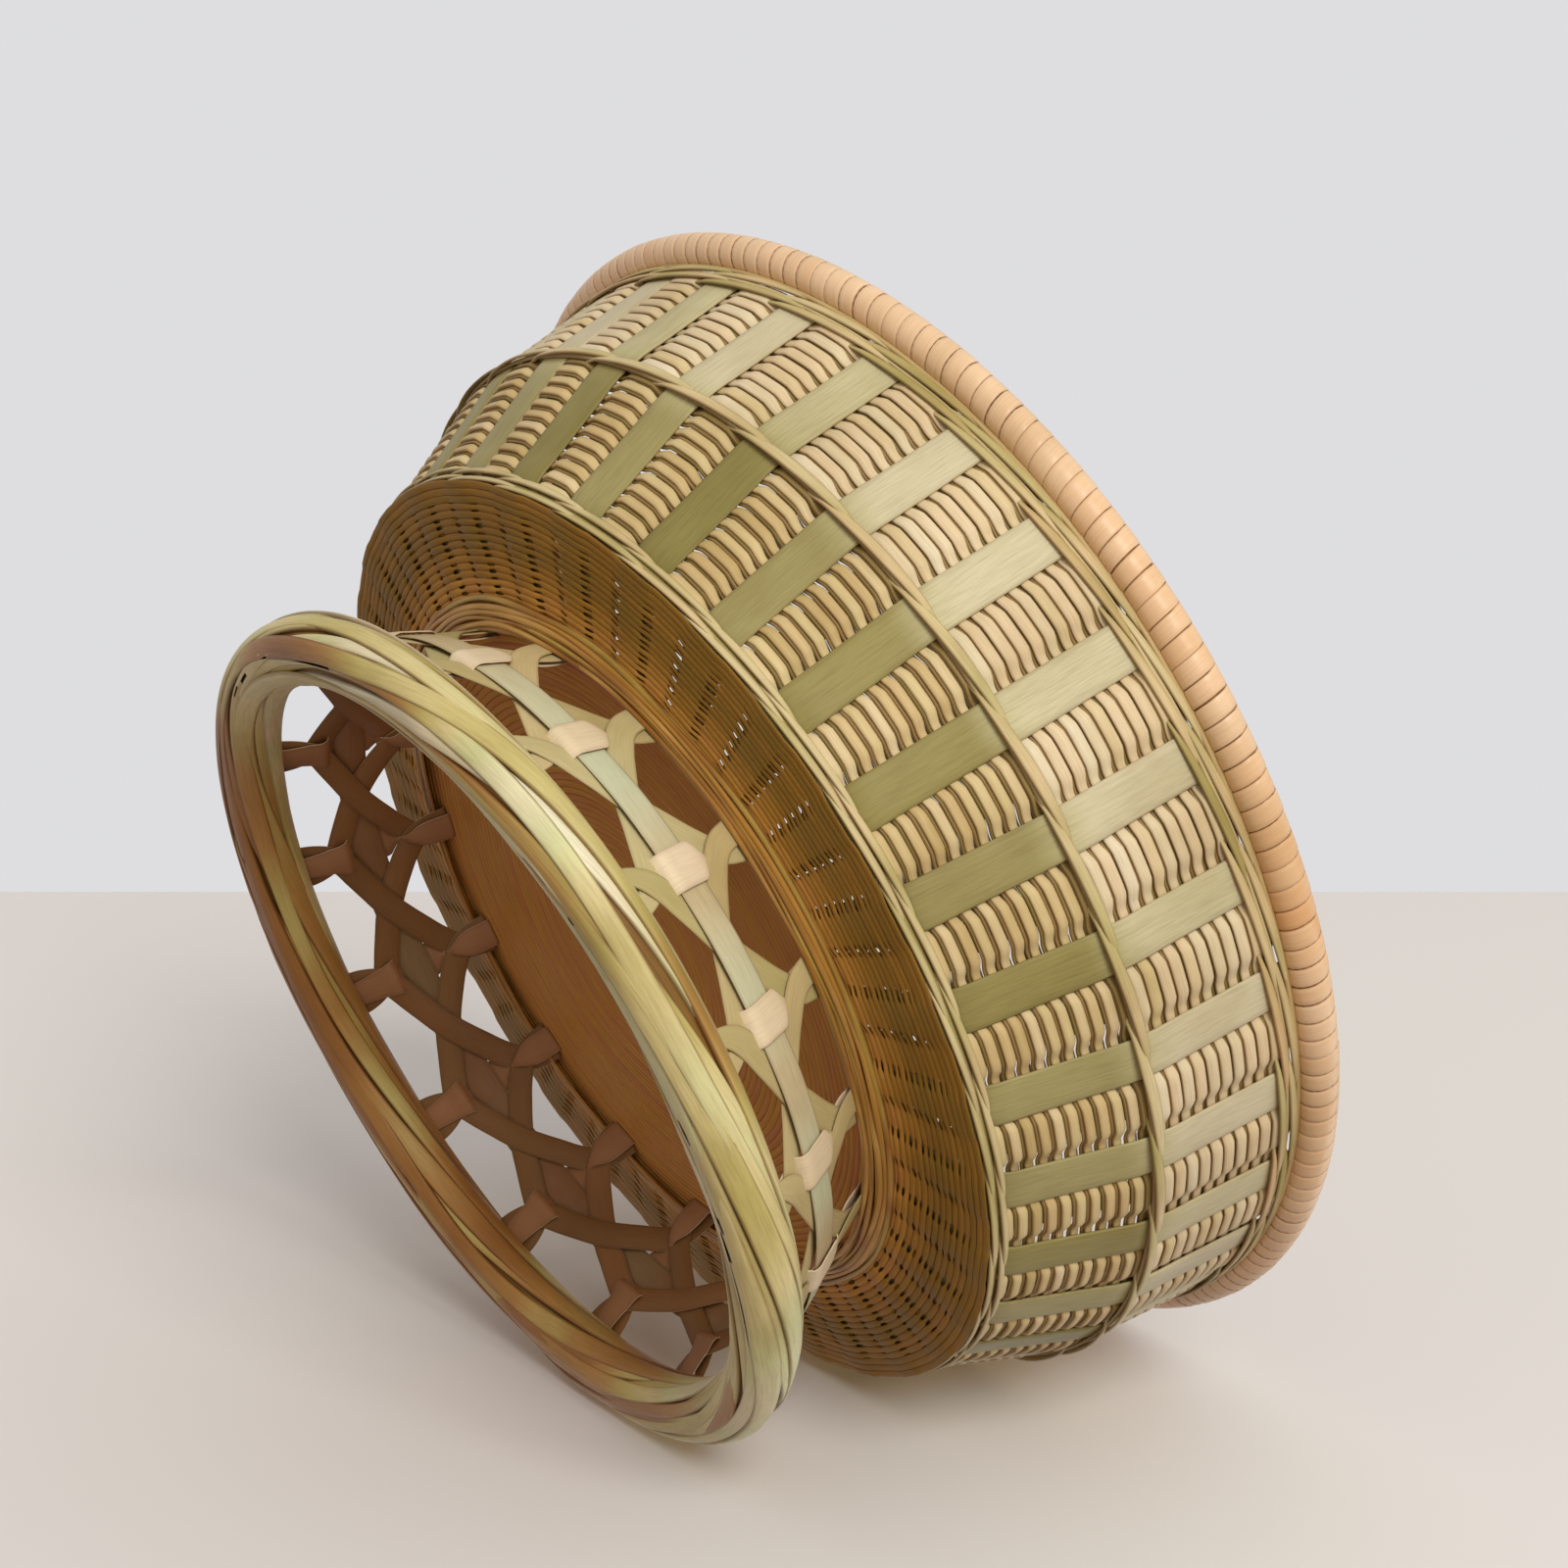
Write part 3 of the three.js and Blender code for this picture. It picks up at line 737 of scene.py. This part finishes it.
# Fine strands of the underside
FINE_WIDTH = 1.66
FINE_THICKNESS = 0.4
FINE_RISE = 0.3
FINE_SWELL = 0.35
FINE_DIP = 0.08
FINE_FACING = (0.06, -1)
FINE_WAVER = (0.08, 3, 20)
# Radii over which the strands start to press out over the stakes, the pinholes end and the ochre and its
# painted light fade
PRESSED_START = (72, 78)
PINHOLES_END = (94.5, 97)
OCHRE_AND_PAINTED_LIGHT_END = (77, 92)
# Shares of half the way from an outer stake to the next, over which a strand sinks back and gets browner
SINKING = (0.3, 0.62)
BROWNING = (0.3, 0.6)
# Shares of the palette that each cause adds to a strand's tint
BETWEEN_TINT = 0.12
# Near the waist and in the middle, the strands take lighter colours: their own ochre and brown, and painted
# light that lightens the shade under the base and inside the foot
OCHRE_AND_PAINTED_LIGHT_TINT = 0.48
BROWN_AND_PAINTED_LIGHT_TINT = 0.7
FINE_STRAND_TINTS = 0.22
FINE_CELL_TINTS = 0.1
# How open the weave is beside a stake, strand by strand, and where a hole starts and is at its widest
PINHOLES = (1, 0.45, 0.85)
HOLE_SIZE = 0.95
HOLE_EDGE = (0.62, 0.8)
# Steps of a fine strand's path as shares of the way from one outer stake to the next
BASE_STATIONS = (0, 0.16, 0.2, 0.3, 0.34, 0.5, 0.66, 0.7, 0.8, 0.84)
MIDDLE_STATIONS = (0, 0.25, 0.5, 0.75)
BASE_STATIONS_FROM = WAIST_RADIUS - 10
# Strands of the floor, inside the bowl
FLOOR_WIDTH = 2.3
FLOOR_THICKNESS = 0.5
FLOOR_WEAVE = 0.75
FLOOR_OPENING = 0.6
FLOOR_CROSSING = (0.35, 0.6)
FLOOR_WAVER = (0.12, 3, 20)
FLOOR_FIRST_RADIUS = BASE_FIRST_RADIUS + 8
FLOOR_LAST_RADIUS = BASE_LAST_RADIUS - 5


def base_angles(radius):
    """Angles that are closer together where a strand narrows beside a pinhole."""
    stations = np.array(BASE_STATIONS if radius > BASE_STATIONS_FROM else MIDDLE_STATIONS)
    return ((np.arange(STAKES)[:, None] + stations[None, :]) * STAKE_PITCH).ravel()


def base_weave(rng):
    """Fine strands round the underside, which press outward over the outer stakes and are greener there."""
    for k, radius in enumerate(np.arange(BASE_FIRST_RADIUS, BASE_LAST_RADIUS, BASE_STRAND_PITCH)):
        angle = base_angles(radius)
        gap = nearest_stake(angle)
        beside = beside_stakes(angle)
        outer = smooth(radius, *PRESSED_START)
        holed = outer * (1 - smooth(radius, *PINHOLES_END))
        swell = FINE_SWELL * (1 - smooth(gap, *SINKING)) * outer
        dip = FINE_DIP * (1 if k % 2 else -1) * beside * holed
        r = radius + waves(rng, angle, *FINE_WAVER)
        z = base_height(r) + FINE_RISE - swell + dip
        own = FINE_STRAND_TINTS * rng.random() + FINE_CELL_TINTS * stake_by_stake(rng, angle)
        near_waist = OCHRE_AND_PAINTED_LIGHT_TINT * (1 - smooth(radius, *OCHRE_AND_PAINTED_LIGHT_END))
        outer_tint = BETWEEN_TINT * smooth(gap, *BROWNING) + near_waist + own
        tint = np.clip(outer_tint * outer + (BROWN_AND_PAINTED_LIGHT_TINT + own) * (1 - outer), 0, 1)
        hole = HOLE_SIZE * smooth(beside, *HOLE_EDGE) * PINHOLES[k % len(PINHOLES)] * holed
        yield loop(angle, r, z, FINE_FACING, FINE_WIDTH - hole, FINE_THICKNESS, tint, LEAF)


def floor_weave(rng):
    """The same weave on the inside, over and under the stakes by turns."""
    for k, radius in enumerate(np.arange(FLOOR_FIRST_RADIUS, FLOOR_LAST_RADIUS, 2 * BASE_STRAND_PITCH)):
        angle = base_angles(radius)
        over = smooth(nearest_stake(angle), *FLOOR_CROSSING)
        over = over if k % 2 else 1 - over
        r = radius + waves(rng, angle, *FLOOR_WAVER)
        z = base_height(r) + BASE_LEVEL + FLOOR_WEAVE * (2 * over - 1)
        beside = smooth(beside_stakes(angle), *HOLE_EDGE)
        width = FLOOR_WIDTH * (1 - FLOOR_OPENING * beside * smooth(radius, *PRESSED_START))
        yield loop(angle, r, z, UPWARD, width, FLOOR_THICKNESS, rng.random(), OVAL)


# Coil in the middle of the base
COIL_TURNS = 5
COIL_STEPS = 260
COIL_FIRST_RADIUS = 0.8
COIL_GROWTH = BASE_FIRST_RADIUS - 0.6
COIL_WIDTH = 1.4
COIL_THICKNESS = 1.3
COIL_WAVES = 8
COIL_WAVER = 0.35


def base_coil(rng):
    """The strand that starts the base, coiled in its middle."""
    t = np.linspace(0, 1, COIL_STEPS)
    angle = TURN * COIL_TURNS * t
    radius = COIL_FIRST_RADIUS + COIL_GROWTH * t
    path = polar(radius, angle, WAIST_HEIGHT + BASE_LEVEL + COIL_WAVER * np.sin(COIL_WAVES * angle))
    return [Strand(path, polar(0, angle, -1), COIL_WIDTH, COIL_THICKNESS, rng.random(), OVAL)]


# Strands round the top of the foot, from the first one's place to the last one's
WAIST_STRANDS = 10
WAIST_RADII = (71.9, 77.1)
WAIST_HEIGHTS = (39.9, 41.9)
WAIST_STAGGER = 0.35
WAIST_WIDTHS = (0.9, 1.4)
WAIST_THICKNESS = 0.7
WAIST_FACING = (0.6, -1)
WAIST_RADIUS_WAVER = (0.6, 3, 14)
WAIST_HEIGHT_WAVER = (0.3, 3, 14)
WAIST_TINT_WAVER = (0.5, 3, 12)
WAIST_WIDTH_WAVER = (0.3, 3, 18)


def waist_band(rng):
    """Fine strands that hold the top of the foot against the base."""
    angle = around(STAKES * PLAIN_STEPS)
    for k in range(WAIST_STRANDS):
        out = k / (WAIST_STRANDS - 1)
        r = WAIST_RADII[0] + (WAIST_RADII[1] - WAIST_RADII[0]) * out + waves(rng, angle, *WAIST_RADIUS_WAVER)
        level = WAIST_HEIGHTS[0] + (WAIST_HEIGHTS[1] - WAIST_HEIGHTS[0]) * out
        z = level - WAIST_STAGGER * (k % 2) + waves(rng, angle, *WAIST_HEIGHT_WAVER)
        tint = np.clip(rng.random() + waves(rng, angle, *WAIST_TINT_WAVER), 0, 1)
        width = rng.uniform(*WAIST_WIDTHS) * (1 + waves(rng, angle, *WAIST_WIDTH_WAVER))
        yield loop(angle, r, z, WAIST_FACING, width, WAIST_THICKNESS, tint, CROWNED)


# Open work of the foot
HOOP_HEIGHT = 25.5
HOOP_WIDTH = 6.7
HOOP_STEPS = 12
HOOP_WAVER = (0.35, 2, 7)
HOOP_TINT_WAVER = (1.3, 4, 12)
HOOP_WIDTH_WAVER = 0.05
# Layer of the hoop on average, and what it gives way at a node
HOOP_LAYER = 0.75
HOOP_GIVE = 0.2
BRACE_WIDTH = 5.5
BRACE_UNEVENNESS = 0.05
UPRIGHT_WIDTH = 8.0
UPRIGHT_UNEVENNESS = 0.04
LATTICE_STEP = 0.7
LATTICE_WANDER = 0.002
# Stops of (degrees from the node, height, layer, share of width) from the waist down to inside the foot ring
UPRIGHT_STOPS = [(0, 42, -2.2, 0.8), (0, 35, -2.2, 0.6), (0, 32.8, -1.6, 0.25), (0, 31.7, 0.2, 0.1),
                 (0, 30.6, 1.3, 0.55), (0, 29.5, 1.6, 0.97), (0, 28.2, 1.75, 1), (0, 25.5, 1.8, 1),
                 (0, 23.2, 1.6, 1), (0, 21.9, 0.4, 1), (0, 20.9, -2.0, 1), (0, 17, -2.4, 0.8),
                 (0, 9, -2.0, 0.6)]
# The same for the braces: (degrees, height), then the layers where they lean right and left, and the shares
BRACE_TURNS = [(-1.4, 42), (-1.1, 39.0), (-0.6, 36.6), (0.5, 34.4), (2.6, 32.1), (6.0, 29.2), (9.0, 26.8),
               (12.2, 24.5), (15.4, 22.7), (18.7, 20.8), (20.8, 19.6), (22.6, 18.0), (23.8, 16.2),
               (24.6, 14.2), (25.0, 9)]
RIGHT_LAYERS = [0.6] * 4 + [0.1, -1.1] + [-1.5] * 6 + [-1.3, -1.2, -1.0]
LEFT_LAYERS = [-0.5] * 10 + [-0.4, -0.3, -0.2, -0.2, -0.2]
BRACE_SHARES = [1] * 11 + [0.95, 0.8, 0.65, 0.6]


def flare_facing(angles):
    """The way that the foot's open work faces."""
    lean = math.atan2(FOOT_RING_RADIUS - FLARE_INSET - WAIST_RADIUS, WAIST_HEIGHT - RING_TOP)
    return polar(math.cos(lean), angles, math.sin(lean))


def lattice_strand(rng, node, lean, stops, width):
    """A splint of the open work through its stops. It leans right where lean is 1, and left at -1."""
    stops = np.array(stops, dtype=float)
    unrolled = np.stack([np.radians(stops[:, 0]) * foot_radius(stops[:, 1]), *stops[:, 1:].T], axis=1)
    points = resample(unrolled, LATTICE_STEP)
    heights = points[:, 1]
    turns = lean * points[:, 0] / foot_radius(heights)
    angles = NODE_PHASE + node * NODE_PITCH + turns + rng.normal(0, LATTICE_WANDER)
    path = polar(foot_radius(heights) + points[:, 2] * LAYER, angles, heights)
    return Strand(path, flare_facing(angles), width * points[:, 3], SPLINT_THICKNESS, rng.random())


def upright(rng, index):
    return [lattice_strand(rng, index, 1, UPRIGHT_STOPS, UPRIGHT_WIDTH * uneven(rng, UPRIGHT_UNEVENNESS))]


def brace(rng, index, lean):
    layers = RIGHT_LAYERS if lean > 0 else LEFT_LAYERS
    stops = [(*place, layer, share) for place, layer, share in zip(BRACE_TURNS, layers, BRACE_SHARES)]
    return [lattice_strand(rng, index, lean, stops, BRACE_WIDTH * uneven(rng, BRACE_UNEVENNESS))]


def foot_hoop(rng):
    """The flat hoop over the braces, which gives way a little under the uprights."""
    angle = around(NODES * HOOP_STEPS)
    node = np.cos(NODES * (angle - NODE_PHASE))
    height = HOOP_HEIGHT + waves(rng, angle, *HOOP_WAVER)
    radius = foot_radius(height) + LAYER * (HOOP_LAYER - HOOP_GIVE * node)
    path = polar(radius, angle, height)
    tint = np.clip(0.5 + waves(rng, angle, *HOOP_TINT_WAVER), 0, 1)
    width = HOOP_WIDTH * (1 + waves(rng, angle, HOOP_WIDTH_WAVER))
    return [Strand(path, flare_facing(angle), width, SPLINT_THICKNESS, tint, FLAT, closed=True)]


# Foot ring: its outer splints lie in two sets, at these distances from the bundle's middle
RING_SIZES = (6.0, 5.5)
RING_STEPS = 320
RING_SPLINTS = 9
RING_SPIN_WAVER = (0.5, 1, 5)
RING_SIZE_WAVER = (0.5, 2, 7)
RING_WIDTH_WAVER = 0.25
RING_TINT_WAVER = 0.3
RING_SPLINT_WIDTHS = (3.0, 4.8)
RING_SPLINT_THICKNESS = 1.25
# Height of the lowest splint's middle, and what each further splint lies above it
LOWEST_SPLINT = 0.56
SPLINT_STACKING = 0.05
# The ring is browner below and towards one side, as painted shade
SHADED_SIDE = math.radians(40)
SHADED_SPREAD = (-0.3, 0.7)
SHADED_BELOW = (0.4, 0.9)
SIDE_TINT = 0.55
BELOW_TINT = 0.15
BELOW_SIDE_TINT = 0.1
RING_TINTS = 0.68
# How far the shaded side evens out what the splints' own tints differ
SIDE_EVENING = 0.5
INSIDE_STEPS = 256
INSIDE_SPLINTS = 10
INSIDE_SIZE = 4.7
INSIDE_WIDTH = 4.2
INSIDE_THICKNESS = 0.8
INSIDE_WAVER = (0.1, 1, 5)


def foot_ring(rng, twists, size):
    """Flat splints of the foot ring's bundle, which turn slowly about its middle."""
    angle = around(RING_STEPS)
    middle = polar(FOOT_RING_RADIUS, angle, FOOT_RING_HEIGHT)
    side = smooth(np.cos(angle - SHADED_SIDE), *SHADED_SPREAD)
    for k in range(RING_SPLINTS):
        spin = k * TURN / RING_SPLINTS + twists * angle + waves(rng, angle, *RING_SPIN_WAVER)
        reach = size + waves(rng, angle, *RING_SIZE_WAVER)
        up = np.maximum(reach * np.sin(spin), LOWEST_SPLINT + SPLINT_STACKING * k - FOOT_RING_HEIGHT)
        path = polar(FOOT_RING_RADIUS + reach * np.cos(spin), angle, FOOT_RING_HEIGHT + up)
        facing = unit(path - middle)
        width = rng.uniform(*RING_SPLINT_WIDTHS) * (1 + waves(rng, angle, RING_WIDTH_WAVER))
        below = smooth(-np.sin(spin), *SHADED_BELOW)
        # Painted shade: browner towards the shaded side and underneath
        painted_shade = SIDE_TINT * side + (BELOW_TINT + BELOW_SIDE_TINT * side) * below
        own = RING_TINTS * rng.random() * (1 - SIDE_EVENING * side)
        tint = np.clip(own + painted_shade + waves(rng, angle, RING_TINT_WAVER), 0, 1)
        yield Strand(path, facing, width, RING_SPLINT_THICKNESS, tint, PILLOW, closed=True)


def foot_ring_inside(rng):
    """The splints deeper in the bundle."""
    angle = around(INSIDE_STEPS)
    middle = polar(FOOT_RING_RADIUS, angle, FOOT_RING_HEIGHT)
    for k in range(INSIDE_SPLINTS):
        spin = k * TURN / INSIDE_SPLINTS + angle + waves(rng, angle, *INSIDE_WAVER)
        path = middle + polar(INSIDE_SIZE * np.cos(spin), angle, INSIDE_SIZE * np.sin(spin))
        facing = unit(path - middle)
        yield Strand(path, facing, INSIDE_WIDTH, INSIDE_THICKNESS, rng.random(), FLAT, closed=True)


def build():
    rng = np.random.default_rng(SEED)
    weave_piece("rim_wraps", rim_wraps(rng), CANE, "rim_cane", "rim_binding")
    weave_piece("rim_core", rim_core(), CORE, "rim_cane")
    weave_piece("upper_band_strands", upper_band(rng), BAND, "band_strand", "upper_band")
    weave_piece("middle_band_strands", middle_band(rng), BAND, "band_strand", "middle_band")
    weave_piece("lower_band_strands", lower_band(rng), BAND, "band_strand", "lower_band")
    weave_piece("waist_strands", waist_band(rng), OCHRE, "waist_strand", "waist_band")
    weave_piece("lower_weavers", wall_rows(rng, LOWER_ROWS, darkness=0.4), WEAVER, "weaver", "wall_weave")
    weave_piece("upper_weavers", wall_rows(rng, UPPER_ROWS, darkness=0), WEAVER, "weaver")
    fillers = [*wall_fillers(rng, LOWER_ROWS, LOWER_ROWS[0] - LOWER_ROWS[1], MIDDLE_HEIGHT),
               *wall_fillers(rng, UPPER_ROWS, MIDDLE_HEIGHT, RIM_BOTTOM)]
    weave_piece("filler_strands", fillers, FILLER, "weaver")
    outer = stakes(rng, phase=0, width=STAKE_WIDTH, share=0.54, wall_offset=0, start=9, greenness=0.6)
    weave_piece("outer_stake_splints", outer, STAKE, "outer_stake", "outer_stakes")
    inner = stakes(rng, phase=STAKE_PITCH / 2 + INNER_STAKE_TURN, width=INNER_STAKE_WIDTH, share=0.32,
                   wall_offset=INNER_STAKE_OFFSET, start=30, greenness=0.3)
    weave_piece("inner_stake_splints", inner, INNER, "inner_stake", "inner_stakes")
    weave_piece("base_strands", base_weave(rng), BASE, "base_strand", "base_weave")
    weave_piece("floor_strands", floor_weave(rng), BASE, "base_strand")
    weave_piece("base_middle_coil", base_coil(rng), BASE, "base_strand")
    weave_piece("foot_hoop_splint", foot_hoop(rng), HOOP, "foot_hoop", "foot_hoop")
    for tag, size in enumerate(RING_SIZES, start=1):
        ring = foot_ring(rng, twists=tag, size=size)
        weave_piece(f"foot_ring_splints_{tag}", ring, RING, "foot_ring", f"foot_ring_strand_{tag}")
    weave_piece("foot_ring_inside_splints", foot_ring_inside(rng), RING_INSIDE, "foot_ring")
    for index in range(NODES):
        tag = f"{index + 1:02d}"
        weave_piece(f"upright_splint_{tag}", upright(rng, index), UPRIGHT, "foot_splint",
                    f"foot_upright_{tag}")
        for side, lean in (("right", 1), ("left", -1)):
            weave_piece(f"{side}_brace_splint_{tag}", brace(rng, index, lean), BRACE, "foot_splint",
                        f"foot_brace_{side}_{tag}")


# The camera stands where the photograph was taken from. Its place was fitted to the basket's circles.
CAMERA_ELEVATION = math.radians(-26.277)
CAMERA_ROLL = math.radians(-59.145)
CAMERA_AZIMUTH = math.radians(-43.3)
# The basket's origin seen from it, in millimetres right, up and forward
CAMERA_SHIFT = (-61.505, -52.011, 566.48)
CAMERA_LENS = 67.49
CAMERA_SENSOR = 36
CAMERA_NEAREST = 0.01
CAMERA_FARTHEST = 30


def camera_axes():
    """The camera's right, up and forward directions."""
    right = Vector((1, 0, 0))
    forward = Vector((0, math.cos(CAMERA_ELEVATION), -math.sin(CAMERA_ELEVATION)))
    up = right.cross(forward)
    c, s = math.cos(CAMERA_ROLL), math.sin(CAMERA_ROLL)
    rolled = (c * right - s * up, s * right + c * up, forward)
    turn = Matrix.Rotation(CAMERA_AZIMUTH, 3, "Z")
    return [turn @ axis for axis in rolled]


RIGHT, UP, FORWARD = camera_axes()
CAMERA_PLACE = -(RIGHT * CAMERA_SHIFT[0] + UP * CAMERA_SHIFT[1] + FORWARD * CAMERA_SHIFT[2]) * MILLI


def make_camera():
    matrix = Matrix((RIGHT, UP, -FORWARD)).transposed().to_4x4()
    matrix.translation = CAMERA_PLACE
    data = bpy.data.cameras.new("photo_camera")
    data.lens = CAMERA_LENS
    data.sensor_width = CAMERA_SENSOR
    data.clip_start = CAMERA_NEAREST
    data.clip_end = CAMERA_FARTHEST
    camera = bpy.data.objects.new("photo_camera", data)
    camera.matrix_world = matrix
    bpy.context.scene.collection.objects.link(camera)
    bpy.context.scene.camera = camera


STAGE_ROUGHNESS = 0.9
STAGE_SPECULAR = 0.1
TABLE_COLOUR = (240, 236, 230)
FLOOR_COLOUR = (242, 239, 234)


def mix_surfaces(tree, factor, first, second, output):
    """Shows the second surface as far as the factor says, and otherwise the first."""
    mix = tree.nodes.new("ShaderNodeMixShader")
    for value, socket in zip((factor, first.outputs[0], second.outputs[0]), mix.inputs):
        tree.links.new(value, socket)
    tree.links.new(mix.outputs["Shader"], output.inputs["Surface"])


def one_sided(name, rgb):
    """A pale surface that can't be seen from behind."""
    material = bpy.data.materials.new(name)
    material.use_nodes = True
    nodes = material.node_tree.nodes
    shader = nodes["Principled BSDF"]
    shader.inputs["Base Color"].default_value = linear(rgb)
    shader.inputs["Roughness"].default_value = STAGE_ROUGHNESS
    shader.inputs["Specular IOR Level"].default_value = STAGE_SPECULAR
    behind = nodes.new("ShaderNodeNewGeometry").outputs["Backfacing"]
    clear = nodes.new("ShaderNodeBsdfTransparent")
    mix_surfaces(material.node_tree, behind, shader, clear, nodes["Material Output"])
    return material


def stage_plane(name, corners, material):
    """A flat four-sided plane that shows to the camera alone and takes shadows."""
    mesh = bpy.data.meshes.new(name)
    mesh.from_pydata(corners, [], [(0, 1, 2, 3)])
    mesh.materials.append(material)
    plane = bpy.data.objects.new(name, mesh)
    bpy.context.scene.collection.objects.link(plane)
    plane.visible_diffuse = False
    plane.visible_glossy = False
    plane.visible_transmission = False
    plane.visible_shadow = False


# The lying basket rests on its foot ring and its middle band, at this angle round it
REST_ANGLE = math.radians(-17)
BAND_REACH = 2.3
# The photograph is this many pixels across, and the table's far edge lies at this one from the top
PHOTO_SIZE = 1600
TABLE_EDGE = 910
# Pixels that the table's far edge reaches past either side of the photograph
TABLE_OVERHANG = 1500
# In metres
TABLE_DEPTH = 0.9
TABLE_GAP = 0.0006
FLOOR_SIZE = 6
FLOOR_GAP = 0.0004


def make_stage():
    """The table that the photograph's basket lies on, and the floor under the standing one."""
    foot = Vector((FOOT_RING_RADIUS + FOOT_RING_THICKNESS / 2, 0, FOOT_RING_HEIGHT))
    band = Vector((float(wall_radius(MIDDLE_HEIGHT)) + BAND_REACH, 0, MIDDLE_HEIGHT))
    slope = math.atan2(band.x - foot.x, band.z - foot.z)
    turn = Matrix.Rotation(REST_ANGLE, 3, "Z")
    normal = turn @ Vector((-math.cos(slope), 0, math.sin(slope)))
    table_point = turn @ ((foot + band) / 2) * MILLI - normal * TABLE_GAP

    def on_table(x, y):
        """The point of the table that a pixel of the photograph shows."""
        half = PHOTO_SIZE / 2
        reach = CAMERA_SENSOR / 2 / CAMERA_LENS / half
        ray = FORWARD + RIGHT * (x - half) * reach + UP * (half - y) * reach
        return CAMERA_PLACE + ray * ((table_point - CAMERA_PLACE).dot(normal) / ray.dot(normal))

    far_left, far_right = (on_table(x, TABLE_EDGE) for x in (-TABLE_OVERHANG, PHOTO_SIZE + TABLE_OVERHANG))
    nearer = normal.cross(far_right - far_left).normalized() * TABLE_DEPTH
    if nearer.dot(FORWARD) > 0:
        nearer = -nearer
    corners = [far_left + nearer, far_right + nearer, far_right, far_left]
    stage_plane("table", corners, one_sided("table_paint", TABLE_COLOUR))
    half = FLOOR_SIZE / 2
    corners = [Vector((x * half, y * half, -FLOOR_GAP)) for x, y in ((-1, -1), (1, -1), (1, 1), (-1, 1))]
    stage_plane("floor", corners, one_sided("floor_paint", FLOOR_COLOUR))


# Metres above the floor of what the lamps point at
LIT_HEIGHT = 0.056
WINDOW_DIRECTION = UP * 0.38 + RIGHT * 0.26 - FORWARD * 0.8
FILL_DIRECTION = Vector((0.75, -0.5, 0.55))


def make_light(name, direction, distance, size, energy, colour):
    """A round lamp in a direction from the basket, in metres and watts. The camera doesn't see it."""
    data = bpy.data.lights.new(name, "AREA")
    data.shape = "DISK"
    data.size = size
    data.energy = energy
    data.color = colour
    light = bpy.data.objects.new(name, data)
    direction = direction.normalized()
    light.location = Vector((0, 0, LIT_HEIGHT)) + direction * distance
    light.visible_camera = False
    light.rotation_mode = "QUATERNION"
    light.rotation_quaternion = direction.to_track_quat("Z", "Y")
    bpy.context.scene.collection.objects.link(light)


def make_lights():
    make_light("window", WINDOW_DIRECTION, distance=4.2, size=1.94, energy=110, colour=(1, 0.98, 0.95))
    make_light("side_fill", FILL_DIRECTION, distance=1.6, size=1.0, energy=3, colour=(1, 0.96, 0.92))


BACKGROUND = (222, 222, 224)
LIGHT_BELOW = (122, 86, 52)
LIGHT_ABOVE = (206, 206, 208)
# Where the world's light comes from most
SKY_DIRECTION = (UP * 0.8 + RIGHT * 0.45 - FORWARD * 0.3).normalized()


def make_world():
    """Pale to the camera and in reflections, and a soft light from above the lying basket."""
    world = bpy.data.worlds.new("pale_room")
    world.use_nodes = True
    bpy.context.scene.world = world
    tree = world.node_tree
    nodes, links = tree.nodes, tree.links
    nodes.clear()
    seen = nodes.new("ShaderNodeBackground")
    seen.inputs["Color"].default_value = linear(BACKGROUND)

    light = nodes.new("ShaderNodeBackground")
    place = nodes.new("ShaderNodeTexCoord")
    dot = nodes.new("ShaderNodeVectorMath")
    dot.operation = "DOT_PRODUCT"
    dot.inputs[1].default_value = tuple(SKY_DIRECTION)
    links.new(place.outputs["Generated"], dot.inputs[0])
    colours = nodes.new("ShaderNodeValToRGB")
    colours.color_ramp.elements[0].color = linear(LIGHT_BELOW)
    colours.color_ramp.elements[1].color = linear(LIGHT_ABOVE)
    links.new(map_range(tree, dot.outputs["Value"], -1, 1, 0, 1), colours.inputs["Fac"])
    links.new(colours.outputs["Color"], light.inputs["Color"])

    rays = nodes.new("ShaderNodeLightPath").outputs
    reflected = math_node(tree, "MAXIMUM", rays["Is Glossy Ray"], rays["Is Transmission Ray"])
    visible = math_node(tree, "MAXIMUM", rays["Is Camera Ray"], reflected)
    mix_surfaces(tree, visible, light, seen, nodes.new("ShaderNodeOutputWorld"))


build()
make_camera()
make_stage()
make_lights()
make_world()
bpy.context.scene.view_settings.view_transform = "Standard"
